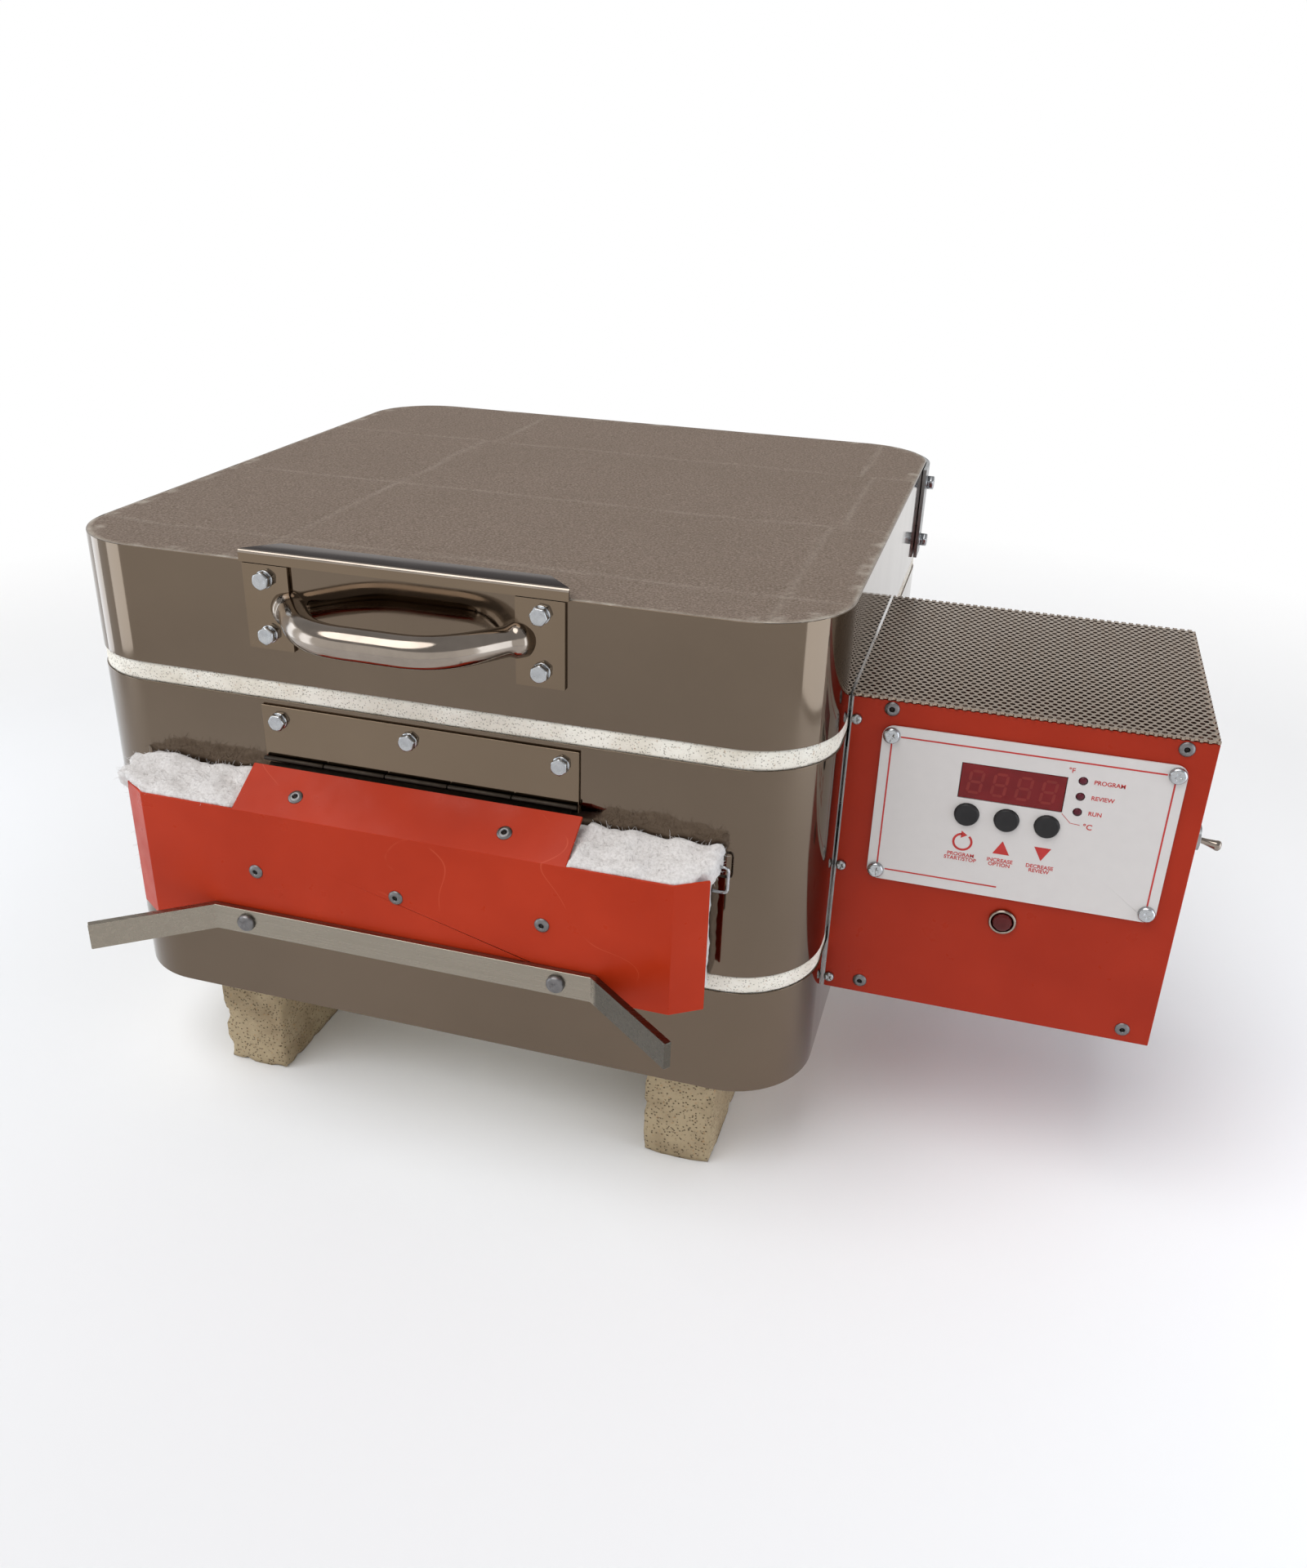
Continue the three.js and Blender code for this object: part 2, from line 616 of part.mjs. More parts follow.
function handleBow() {
  const y0 = plateFront - GAP;
  const y1 = plateFront - HANDLE_REACH;
  const foot = HANDLE_FOOT_SPAN / 2;
  const grip = HANDLE_GRIP / 2;
  const at = (x, y) => new THREE.Vector3(LID_FITTINGS_X + x, y, handleZ);
  const leg = (side) => [
    at(side * foot, y0),
    at(side * (foot - HANDLE_FOOT_PULL[0]), y0 - HANDLE_FOOT_PULL[1]),
    at(side * (grip + HANDLE_GRIP_PULL), y1),
    at(side * grip, y1),
  ];
  // Each leg starts behind its foot, so the trim leaves a whole foot.
  const behind = (side) =>
    at(side * (foot + HANDLE_FOOT_PULL[0]), y0 + HANDLE_FOOT_PULL[1]);
  const path = new THREE.CurvePath();
  path.add(new THREE.LineCurve3(behind(-1), leg(-1)[0]));
  path.add(new THREE.CubicBezierCurve3(...leg(-1)));
  path.add(new THREE.LineCurve3(at(-grip, y1), at(grip, y1)));
  path.add(new THREE.CubicBezierCurve3(...leg(1).reverse()));
  path.add(new THREE.LineCurve3(leg(1)[0], behind(1)));
  const section = new THREE.Shape().absarc(0, 0, HANDLE_TUBE_RADIUS, 0, 2 * Math.PI);
  const tube = new THREE.ExtrudeGeometry(section, {
    steps: HANDLE_STEPS,
    curveSegments: HANDLE_SIDES / 2,
    extrudePath: path,
  });
  const room = 3 * HANDLE_TUBE_RADIUS;
  const trim = block(
    [LID_FITTINGS_X - HANDLE_PLATE_SPAN, y0, handleZ - room],
    [LID_FITTINGS_X + HANDLE_PLATE_SPAN, y0 + room, handleZ + room],
  );
  return cut(tube, trim);
}

function handleBolt(x, z) {
  const seat = plateFront - GAP;
  const head = rod(hexRadius(BOLT_HEAD_FLATS), [x, seat - BOLT_HEAD_HEIGHT, z], [x, seat, z], 6);
  const shank = rod(BOLT_SHANK_RADIUS, [x, seat - 1, z], [x, seat + BOLT_SHANK_LENGTH, z], 12);
  return join(head, shank);
}

const handleBoltSpots = ['left', 'right'].flatMap((side) =>
  ['upper', 'lower'].map((level) => ({
    name: `handle_bolt_${level}_${side}`,
    x: LID_FITTINGS_X + ((side === 'left' ? -1 : 1) * HANDLE_BOLT_SPAN) / 2,
    z: handleZ + ((level === 'upper' ? 1 : -1) * HANDLE_BOLT_PITCH) / 2,
  })));

// Clearance holes for the handle's bolts, from the plates into the lid slab.
const handleBoltHoles = () =>
  handleBoltSpots.map(({ x, z }) =>
    rod(
      BOLT_SHANK_RADIUS + GAP,
      [x, plateFront - 1, z],
      [x, plateFront + BOLT_SHANK_LENGTH + GAP, z],
      12,
    ));

function buildHandle(group) {
  for (const [side, sign] of Object.entries({ left: -1, right: 1 })) {
    const outer = LID_FITTINGS_X + (sign * HANDLE_PLATE_SPAN) / 2;
    const inner = outer - sign * HANDLE_PLATE_WIDTH;
    const plate = block(
      [Math.min(outer, inner), plateFront, handleZ - HANDLE_PLATE_HEIGHT / 2 - GAP],
      [Math.max(outer, inner), -HALF - GAP, handleZ + HANDLE_PLATE_HEIGHT / 2 - GAP],
    );
    piece(group, `handle_plate_${side}`, cut(plate, ...handleBoltHoles()), 'polishedSteel');
  }
  piece(group, 'lid_handle', handleBow(), 'chrome');
  handleBoltSpots.forEach(({ name, x, z }) => piece(group, name, handleBolt(x, z), 'zinc'));
}

// A strap bent round a back corner of the lid, in plan.
function strapPlan() {
  const inner = HALF + GAP;
  const outer = inner + STRAP_THICKNESS;
  const turn = HALF - CORNER_RADIUS;
  const shape = new THREE.Shape();
  shape.moveTo(inner, STRAP_FRONT_Y);
  shape.lineTo(outer, STRAP_FRONT_Y);
  shape.absarc(turn, turn, outer - turn, 0, Math.PI / 2);
  shape.lineTo(STRAP_BACK_X, outer);
  shape.lineTo(STRAP_BACK_X, inner);
  shape.absarc(turn, turn, inner - turn, Math.PI / 2, 0, true);
  shape.closePath();
  return shape;
}

function buildLid(group) {
  const slab = cut(brickPrism(LID_Z + GAP, TOP_Z), ...handleBoltHoles());
  piece(group, 'lid_slab', slab, 'coatedBrick');
  const steel = cut(band(TOP_Z - LID_BAND_HEIGHT, TOP_Z), ...handleBoltHoles());
  piece(group, 'lid_band', steel, 'polishedSteel');
  buildGuard(group);
  buildHandle(group);
  const strapTop = TOP_Z - STRAP_DROP;
  const strap = raise(strapPlan(), strapTop - STRAP_HEIGHT, strapTop);
  piece(group, 'lid_strap_left', flipped(strap), 'zinc');
  piece(group, 'lid_strap_right', strap, 'zinc');
  const back = HALF + GAP;
  const upper = hingeLeaf({
    plate: block(
      [-LID_LEAF_WIDTH / 2, back, lidAxis[1]],
      [LID_LEAF_WIDTH / 2, back + LID_LEAF_THICKNESS, lidAxis[1] + LID_LEAF_HEIGHT],
    ),
    own: lidSpans.filter(isOdd),
    other: lidSpans.filter(isEven),
    axis: lidAxis,
    knuckle: LID_KNUCKLE_RADIUS,
    pin: LID_PIN_RADIUS,
  });
  piece(group, 'lid_hinge_upper_leaf', upper, 'zinc');
}

// ---------------------------------------------------------------- flip door
const doorFront = -HALF - DOOR_PROUD;
const doorFold = RING_Z + DOOR_TOP;
const doorBottom = doorFold - DOOR_HEIGHT;

// The tab's outer face runs from the upper fold towards the hinge axis, and stops at the knuckles.
// Its directions in (y, z): up the slope, and out of its upper face.
const tabRun = doorAxis[0] - doorFront;
const tabRise = doorAxis[1] - doorFold;
const tabSlope = Math.hypot(tabRun, tabRise);
const tabUp = [tabRun / tabSlope, tabRise / tabSlope];
const tabOut = [-tabUp[1], tabUp[0]];
const tabLength = tabSlope - DOOR_KNUCKLE_RADIUS - 2 * GAP;
const onTab = (along, out) => [
  doorFront + along * tabUp[0] + out * tabOut[0],
  doorFold + along * tabUp[1] + out * tabOut[1],
];

function doorPanel() {
  const flat = DOOR_FLAT_WIDTH / 2;
  const end = flat + DOOR_END_RUN;
  const back = doorFront + DOOR_END_BACK;
  const slope = Math.hypot(DOOR_END_RUN, DOOR_END_BACK);
  const lean = (DOOR_SHEET * (slope - DOOR_END_RUN)) / DOOR_END_BACK;
  const shiftX = (DOOR_SHEET * DOOR_END_BACK) / slope;
  const shiftY = (DOOR_SHEET * DOOR_END_RUN) / slope;
  const plan = polygon([
    [-end, back],
    [-flat, doorFront],
    [flat, doorFront],
    [end, back],
    [end - shiftX, back + shiftY],
    [flat - lean, doorFront + DOOR_SHEET],
    [-flat + lean, doorFront + DOOR_SHEET],
    [-end + shiftX, back + shiftY],
  ]);
  const walls = raise(plan, doorBottom, doorFold).translate(DOOR_X, 0, 0);
  const fold = [[doorFront, doorFold - 3 * DOOR_SHEET], [doorFront, doorFold], onTab(tabLength, 0)];
  const tab = stretchX(
    bentSheet(fold, DOOR_SHEET),
    DOOR_X - DOOR_TAB_WIDTH / 2,
    DOOR_X + DOOR_TAB_WIDTH / 2,
  );
  return join(walls, tab);
}

function doorFibre() {
  const front = doorFront + DOOR_SHEET + GAP;
  const back = -HALF - 2 * GAP;
  const half = FIBRE_WIDTH / 2;
  const flat = DOOR_FLAT_WIDTH / 2 - GAP;
  const endFront = front + ((half - flat) * DOOR_END_BACK) / DOOR_END_RUN + GAP;
  const plan = polygon([
    [-half, back],
    [-half, endFront],
    [-flat, front],
    [flat, front],
    [half, endFront],
    [half, back],
  ]);
  const frontTop = doorFold + FIBRE_FRONT_RISE;
  const backTop = doorFold + FIBRE_BACK_RISE;
  const above = backTop + BRICK;
  const body = raise(plan, doorBottom, backTop).translate(DOOR_X, 0, 0);
  const topSlope = polygon([
    [front - DOOR_PROUD, frontTop],
    [front, frontTop],
    [back, backTop],
    [back, above],
    [front - DOOR_PROUD, above],
  ]);
  const under = -DOOR_SHEET - DOOR_PLATE_THICKNESS - 2 * GAP;
  const knuckleZ = doorAxis[1] - DOOR_KNUCKLE_RADIUS - 2 * GAP;
  const tabSpace = polygon([
    onTab(-DOOR_PROUD, under),
    onTab(DOOR_LEAF_LENGTH, under),
    [back, Math.min(knuckleZ, onTab(DOOR_LEAF_LENGTH, under)[1])],
    [back, above],
    [front - DOOR_PROUD, above],
  ]);
  const overTab = DOOR_TAB_WIDTH / 2 + GAP;
  return cut(
    body,
    stretchX(topSlope, DOOR_X - half - 1, DOOR_X + half + 1),
    stretchX(tabSpace, DOOR_X - overTab, DOOR_X + overTab),
  );
}

function doorHingeLeaf() {
  const upper = -DOOR_SHEET - GAP;
  const lower = upper - DOOR_PLATE_THICKNESS;
  const outline = polygon([
    onTab(tabSlope - DOOR_LEAF_LENGTH, lower),
    onTab(tabSlope, lower),
    onTab(tabSlope, upper),
    onTab(tabSlope - DOOR_LEAF_LENGTH, upper),
  ]);
  return hingeLeaf({
    plate: stretchX(outline, DOOR_X - DOOR_PLATE_WIDTH / 2, DOOR_X + DOOR_PLATE_WIDTH / 2),
    own: doorSpans.filter(isOdd),
    other: doorSpans.filter(isEven),
    axis: doorAxis,
    knuckle: DOOR_KNUCKLE_RADIUS,
    pin: DOOR_PIN_RADIUS,
  });
}

const barBack = doorFront - GAP;
const barZ = doorBottom + BAR_RISE;
const barScrewXs = { left: DOOR_X - BAR_SCREW_SPAN / 2, right: DOOR_X + BAR_SCREW_SPAN / 2 };
const barScrewZ = barZ + BAR_HEIGHT / 2;

// Screw holes through bar, door sheet and a little way into the fibre.
const barScrewHoles = () =>
  Object.values(barScrewXs).map((x) =>
    rod(
      BOLT_SHANK_RADIUS + GAP,
      [x, barBack - BAR_THICKNESS - 1, barScrewZ],
      [x, barBack + BOLT_SHANK_LENGTH / 2 + GAP, barScrewZ],
      12,
    ));

function doorBar() {
  const half = BAR_STRAIGHT / 2;
  const armX = half + BAR_ARM * Math.cos(BAR_ARM_ANGLE);
  const armY = BAR_ARM * Math.sin(BAR_ARM_ANGLE);
  const stepX = BAR_THICKNESS * Math.sin(BAR_ARM_ANGLE);
  const stepY = BAR_THICKNESS * Math.cos(BAR_ARM_ANGLE);
  const inset = BAR_THICKNESS * Math.tan(BAR_ARM_ANGLE / 2);
  const front = barBack - BAR_THICKNESS;
  const plan = polygon([
    [-armX - stepX + inset, barBack - armY],
    [-armX + inset, barBack - armY - stepY],
    [-half + inset, front],
    [half - inset, front],
    [armX - inset, barBack - armY - stepY],
    [armX + stepX - inset, barBack - armY],
    [half, barBack],
    [-half, barBack],
  ].reverse());
  return raise(plan, barZ, barZ + BAR_HEIGHT).translate(DOOR_X, 0, 0);
}

function barScrew(x) {
  const seat = barBack - BAR_THICKNESS - GAP;
  const head = [
    [0, 0],
    [BAR_SCREW_HEAD_RADIUS, 0],
    [BAR_SCREW_HEAD_RADIUS, BAR_SCREW_RIM],
    [BAR_SCREW_CROWN_RADIUS, BAR_SCREW_HEAD_HEIGHT],
    [0, BAR_SCREW_HEAD_HEIGHT],
  ];
  const cap = turned(head, [x, seat, barScrewZ], [0, -1, 0], 16);
  const shank = rod(
    BOLT_SHANK_RADIUS,
    [x, seat - 1, barScrewZ],
    [x, barBack + BOLT_SHANK_LENGTH / 2, barScrewZ],
    12,
  );
  return join(cap, shank);
}

function buildDoor(group) {
  piece(group, 'door_panel', cut(doorPanel(), ...barScrewHoles()), 'orangePaint');
  piece(group, 'door_fibre', cut(doorFibre(), ...barScrewHoles()), 'fibre');
  piece(group, 'door_hinge_leaf', doorHingeLeaf(), 'zinc');
  piece(group, 'door_bar', cut(doorBar(), ...barScrewHoles()), 'aluminium');
  Object.entries(barScrewXs).forEach(([side, x]) =>
    piece(group, `bar_screw_${side}`, barScrew(x), 'zinc'));
}

// ---------------------------------------------------------------- control box
// Local frame: x from the box's middle, y from its front, z from its underside.
const wide = BOX_WIDTH / 2;
const faceWidth = BOX_WIDTH - 2 * FACE_MARGIN;
const faceZ = BOX_HEIGHT - FACE_DROP - FACE_HEIGHT / 2;
const faceScrewX = faceWidth / 2 - FACE_SCREW_INSET;
const faceScrewZ = FACE_HEIGHT / 2 - FACE_SCREW_INSET;
const lampZ = faceZ - FACE_HEIGHT / 2 - LAMP_DROP;
const panelTop = BOX_HEIGHT - BOX_SHEET - GAP;
const innerFront = BOX_SHEET + GAP;
const innerBack = BOX_DEPTH - BOX_SHEET - GAP;
const toggleZ = BOX_HEIGHT - TOGGLE_DROP;
const faceFront = -GAP - FACE_SHEET;
const windowZ = faceZ + WINDOW_Z;
const buttonZ = faceZ + BUTTON_Z;
const buttonXs = [-1, 0, 1].map((i) => CONTROLS_X + i * BUTTON_PITCH);
const ledZs = [1, 0, -1].map((i) => faceZ + LED_Z + i * LED_PITCH);

// Front outline of an open-topped tray with sides and floor of the given thickness.
const trayOutline = (side, floor) =>
  polygon([
    [-wide, 0],
    [wide, 0],
    [wide, panelTop],
    [wide - side, panelTop],
    [wide - side, floor],
    [-wide + side, floor],
    [-wide + side, panelTop],
    [-wide, panelTop],
  ]);

function buildCasing(group) {
  const tray = stretchY(trayOutline(BOX_SHEET, BOX_SHEET), innerFront, innerBack);
  const frame = trayOutline(BOX_FLANGE, BOX_LIP);
  const flanges = [
    stretchY(frame, innerFront, innerFront + BOX_SHEET),
    stretchY(frame, innerBack - BOX_SHEET, innerBack),
  ];
  const wallHoles = crossings(TAIL_CLEARANCE, HALF, boxInnerX + 1).map((hole) =>
    hole.translate(-BOX_X, -BOX_Y, -BOX_Z));
  const toggleHole = rod(
    TOGGLE_BUSHING_RADIUS + GAP,
    [wide - BOX_SHEET - 1, TOGGLE_Y, toggleZ],
    [wide + 1, TOGGLE_Y, toggleZ],
  );
  const chassis = cut(join(tray, ...flanges), ...wallHoles, toggleHole);
  piece(group, 'box_chassis', chassis, 'orangePaint');

  const around = BUTTON_FLANGE_RADIUS + WINDOW_MARGIN;
  const window = block(
    [buttonXs[0] - around, -1, buttonZ - around],
    [LED_X + LED_RADIUS + WINDOW_MARGIN, BOX_SHEET + 1, windowZ + WINDOW_HEIGHT / 2 + WINDOW_MARGIN],
  );
  const lampHole = rod(LAMP_BARREL_RADIUS + GAP, [0, -1, lampZ], [0, BOX_SHEET + 1, lampZ]);
  const posts = facePosts().map(([x, z]) =>
    rod(BOLT_SHANK_RADIUS, [x, -1, z], [x, BOX_SHEET + 1, z], 12));
  const lap = BOX_GAP - PANEL_REVEAL;
  const front = block([-wide - lap, 0, 0], [wide, BOX_SHEET, panelTop]);
  piece(group, 'front_panel', cut(front, window, lampHole, ...posts), 'orangePaint');

  const cover = block([-wide - lap, 0, BOX_HEIGHT - BOX_SHEET], [wide, BOX_DEPTH, BOX_HEIGHT]);
  piece(group, 'top_cover', cover, 'perforated');

  const glandHole = rod(
    GLAND_BARREL_RADIUS + GAP,
    [GLAND_X, BOX_DEPTH - BOX_SHEET - 1, GLAND_Z],
    [GLAND_X, BOX_DEPTH + 1, GLAND_Z],
  );
  const back = block([-wide, BOX_DEPTH - BOX_SHEET, 0], [wide, BOX_DEPTH, panelTop]);
  piece(group, 'back_panel', cut(back, glandHole), 'orangePaint');
}

const facePosts = () =>
  [-1, 1].flatMap((sx) => [-1, 1].map((sz) => [sx * faceScrewX, faceZ + sz * faceScrewZ]));

function buildFace(group) {
  const outline = roundedRectangle(faceWidth, FACE_HEIGHT, FACE_RADIUS, 0, faceZ);
  const halfW = WINDOW_WIDTH / 2;
  const halfH = WINDOW_HEIGHT / 2;
  const openings = [
    block(
      [CONTROLS_X - halfW, faceFront - 1, windowZ - halfH],
      [CONTROLS_X + halfW, 1, windowZ + halfH],
    ),
    ...buttonXs.map((x) => rod(BUTTON_RADIUS + GAP, [x, faceFront - 1, buttonZ], [x, 1, buttonZ])),
    ...ledZs.map((z) => rod(LED_RADIUS + GAP, [LED_X, faceFront - 1, z], [LED_X, 1, z], 12)),
    ...facePosts().map(([x, z]) => rod(BOLT_SHANK_RADIUS, [x, faceFront - 1, z], [x, 1, z], 12)),
  ];
  piece(group, 'face_plate', cut(stretchY(outline, faceFront, -GAP), ...openings), 'whitePlate');

  const pane = block(
    [CONTROLS_X - halfW + GAP, faceFront + GAP / 2, windowZ - halfH + GAP],
    [CONTROLS_X + halfW - GAP, BOX_SHEET, windowZ + halfH - GAP],
  );
  piece(group, 'display_window', pane, 'darkRed');

  ['led_program', 'led_review', 'led_run'].forEach((name, i) => {
    const top = LED_PROUD - faceFront;
    const reach = BOARD_Y - GAP;
    const profile = [
      [0, -top],
      [LED_RADIUS * 0.75, -top + LED_DOME[0]],
      [LED_RADIUS, -top + LED_DOME[1]],
      [LED_RADIUS, reach],
      [0, reach],
    ];
    piece(group, name, turned(profile, [LED_X, 0, ledZs[i]], [0, 1, 0], 12), 'darkRed');
  });

  const board = block(
    [-faceScrewX - BOARD_MARGIN, BOARD_Y, faceZ - faceScrewZ - BOARD_MARGIN],
    [faceScrewX + BOARD_MARGIN, BOARD_Y + BOARD_THICKNESS, faceZ + faceScrewZ + BOARD_MARGIN],
  );
  const posts = facePosts().map(([x, z]) =>
    rod(POST_RADIUS, [x, innerFront, z], [x, BOARD_Y + 1, z], 12));
  const display = block(
    [CONTROLS_X - halfW + 2 * GAP, BOX_SHEET + GAP, windowZ - halfH + 2 * GAP],
    [CONTROLS_X + halfW - 2 * GAP, BOARD_Y + 1, windowZ + halfH - 2 * GAP],
  );
  const switchTop = BUTTON_FLANGE + BUTTON_TRAVEL + GAP;
  const switches = buttonXs.map((x) =>
    rod(SWITCH_RADIUS, [x, switchTop, buttonZ], [x, BOARD_Y + 1, buttonZ], 12));
  piece(group, 'controller_board', join(board, display, ...posts, ...switches), 'board');
}

function buildButtons(group) {
  const front = faceFront - BUTTON_PROUD;
  const profile = [
    [0, front],
    [BUTTON_RADIUS - BUTTON_BEVEL[0], front],
    [BUTTON_RADIUS, front + BUTTON_BEVEL[1]],
    [BUTTON_RADIUS, 0],
    [BUTTON_FLANGE_RADIUS, 0],
    [BUTTON_FLANGE_RADIUS, BUTTON_FLANGE],
    [0, BUTTON_FLANGE],
  ];
  ['button_start', 'button_increase', 'button_decrease'].forEach((name, i) =>
    piece(group, name, turned(profile, [buttonXs[i], 0, buttonZ], [0, 1, 0]), 'blackPlastic'));
}

function buildLamp(group) {
  const rim = -GAP - LAMP_RIM;
  const bore = LAMP_LENS_RADIUS + GAP;
  const bezel = [
    [0, LAMP_SOCKET],
    [bore, LAMP_SOCKET],
    [bore, rim],
    [LAMP_BEZEL_RADIUS - LAMP_BEVEL, rim],
    [LAMP_BEZEL_RADIUS, rim + LAMP_BEVEL],
    [LAMP_BEZEL_RADIUS, -GAP],
    [LAMP_BARREL_RADIUS, -GAP],
    [LAMP_BARREL_RADIUS, LAMP_BARREL_LENGTH],
    [0, LAMP_BARREL_LENGTH],
  ];
  piece(group, 'lamp_bezel', turned(bezel, [0, 0, lampZ], [0, 1, 0]), 'chrome');
  const lens = [
    [0, rim - LAMP_LENS_PROUD],
    [LAMP_LENS_RADIUS - 3 * LAMP_BEVEL, rim - LAMP_LENS_PROUD + LAMP_BEVEL],
    [LAMP_LENS_RADIUS, rim + LAMP_BEVEL],
    [LAMP_LENS_RADIUS, LAMP_SOCKET - GAP],
    [0, LAMP_SOCKET - GAP],
  ];
  piece(group, 'lamp_lens', turned(lens, [0, 0, lampZ], [0, 1, 0]), 'darkRed');
}

function buildToggle(group) {
  const inside = wide - BOX_SHEET - GAP;
  const outside = wide + TOGGLE_BUSHING_OUT;
  const [deep, thick, tall] = TOGGLE_CASE;
  const at = (x) => [x, TOGGLE_Y, toggleZ];
  const body = block(
    [inside - deep, TOGGLE_Y - thick / 2, toggleZ - tall / 2],
    [inside, TOGGLE_Y + thick / 2, toggleZ + tall / 2],
  );
  const bushing = rod(TOGGLE_BUSHING_RADIUS, at(inside - 1), at(outside));
  const bore = rod(TOGGLE_BORE_RADIUS, at(outside - TOGGLE_BORE_DEPTH), at(outside + 1));
  piece(group, 'toggle_body', cut(join(body, bushing), bore), 'zinc');

  const nut = rod(hexRadius(NUT_FLATS), at(wide + GAP), at(wide + GAP + NUT_THICKNESS), 6);
  const thread = rod(TOGGLE_BUSHING_RADIUS + GAP, at(wide), at(wide + NUT_THICKNESS + 1));
  piece(group, 'toggle_nut', cut(nut, thread), 'zinc');

  const ball = TOGGLE_BORE_RADIUS - GAP;
  const ballProfile = [-3, -2, -1, 0, 1].map((step) => {
    const angle = (step * Math.PI) / 6;
    return [ball * Math.cos(angle), ball * Math.sin(angle)];
  });
  ballProfile[0][0] = 0;
  const tip = TOGGLE_LEVER_LENGTH - TOGGLE_TIP_LENGTH;
  const profile = [
    ...ballProfile,
    [TOGGLE_NECK_RADIUS, ball],
    [TOGGLE_NECK_RADIUS, TOGGLE_LEVER_LENGTH / 2],
    [TOGGLE_TIP_RADIUS, tip],
    [TOGGLE_TIP_RADIUS, TOGGLE_LEVER_LENGTH - TOGGLE_TIP_RADIUS / 2],
    [TOGGLE_TIP_RADIUS * 0.6, TOGGLE_LEVER_LENGTH],
    [0, TOGGLE_LEVER_LENGTH],
  ];
  const lean = [Math.cos(TOGGLE_TILT), 0, -Math.sin(TOGGLE_TILT)];
  const lever = turned(profile, at(outside - TOGGLE_PIVOT_DEPTH), lean, 16);
  piece(group, 'toggle_lever', lever, 'chrome');
}

function buildRelay(group) {
  const base = BOX_SHEET + GAP;
  const [w, d, h] = RELAY_SIZE;
  const body = block(
    [RELAY_X, RELAY_Y, base + RELAY_BASE - 1],
    [RELAY_X + w, RELAY_Y + d, base + h],
  );
  const foot = block(
    [RELAY_X - RELAY_FOOT, RELAY_Y, base],
    [RELAY_X + w + RELAY_FOOT, RELAY_Y + d, base + RELAY_BASE],
  );
  piece(group, 'power_relay', join(body, foot), 'blackPlastic');
}

function buildGland(group) {
  const at = (y) => [GLAND_X, y, GLAND_Z];
  const hex = hexRadius(GLAND_HEX_FLATS);
  const outer = BOX_DEPTH + GAP;
  const nutBack = BOX_DEPTH - 2 * BOX_SHEET - 2 * GAP;
  const barrel = rod(GLAND_BARREL_RADIUS, at(nutBack - GLAND_NUT - 1), at(outer + 1));
  const nut = rod(hex, at(nutBack - GLAND_NUT), at(nutBack), 6);
  const cap = rod(hex, at(outer), at(outer + GLAND_NUT), 6);
  const domeLength = GLAND_OUT - GLAND_NUT;
  const profile = [
    [0, -1],
    [GLAND_BARREL_RADIUS + 1, -1],
    [GLAND_BARREL_RADIUS + 1, domeLength - GLAND_TAPER],
    [GLAND_BORE_RADIUS + 1, domeLength],
    [0, domeLength],
  ];
  const dome = turned(profile, at(outer + GLAND_NUT), [0, 1, 0]);
  const bore = rod(GLAND_BORE_RADIUS, at(nutBack - BOX_DEPTH / 4), at(BOX_DEPTH + 2 * GLAND_OUT));
  piece(group, 'cable_gland', cut(join(barrel, nut, cap, dome), bore), 'blackPlastic');
}

function buildStandoffs(group) {
  const places = { front: BOX_Y + STANDOFF_INSET, rear: BOX_Y + BOX_DEPTH - STANDOFF_INSET };
  for (const [place, y] of Object.entries(places)) {
    const from = [HALF + GAP, y, probeHeight];
    const to = [HALF + BOX_GAP - GAP, y, probeHeight];
    piece(group, `box_standoff_${place}`, rod(STANDOFF_RADIUS, from, to), 'zinc');
  }
}

// ---------------------------------------------------------------- assembly
const kiln = new THREE.Group();
const box = new THREE.Group();
box.position.set(BOX_X, BOX_Y, BOX_Z);
kiln.add(box);

buildFeet(kiln);
buildBrickwork(kiln);
buildElement(kiln);
buildFixedHinges(kiln);
buildStandoffs(kiln);
buildLid(kiln);
buildDoor(kiln);
buildCasing(box);
buildFace(box);
buildButtons(box);
buildLamp(box);
buildToggle(box);
buildRelay(box);
buildGland(box);

// The part's origin is under the middle of its outline, on the surface it stands on.
const part = new THREE.Group();
part.add(kiln);
const extent = new THREE.Box3().setFromObject(kiln, true);
const middle = extent.getCenter(new THREE.Vector3());
kiln.position.set(-middle.x, -middle.y, -extent.min.z);

export default part;
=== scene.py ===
"""Looks for a small front-loading kiln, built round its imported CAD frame.

Measures are in millimetres from the kiln's upright axis and the surface it stands on, and at() turns
them into the row frame's metres.
"""

import math
import random

import bmesh
import bpy
import numpy as np
from mathutils import Matrix, Vector, noise


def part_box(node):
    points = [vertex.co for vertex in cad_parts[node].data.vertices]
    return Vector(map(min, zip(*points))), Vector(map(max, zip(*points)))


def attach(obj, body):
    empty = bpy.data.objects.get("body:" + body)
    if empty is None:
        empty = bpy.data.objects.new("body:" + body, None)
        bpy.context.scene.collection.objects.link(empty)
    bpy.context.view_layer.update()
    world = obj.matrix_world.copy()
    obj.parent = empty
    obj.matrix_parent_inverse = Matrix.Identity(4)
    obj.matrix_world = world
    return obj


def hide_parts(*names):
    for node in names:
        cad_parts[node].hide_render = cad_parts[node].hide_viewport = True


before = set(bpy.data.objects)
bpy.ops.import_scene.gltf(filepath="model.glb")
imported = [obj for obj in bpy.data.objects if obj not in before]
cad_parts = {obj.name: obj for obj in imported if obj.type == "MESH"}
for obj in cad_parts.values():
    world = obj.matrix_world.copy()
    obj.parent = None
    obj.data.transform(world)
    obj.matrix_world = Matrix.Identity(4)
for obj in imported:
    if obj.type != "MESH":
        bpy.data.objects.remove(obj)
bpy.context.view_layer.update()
rng = random.Random(11)

# ---------------------------------------------------------------- places taken from the frame
MM = 0.001


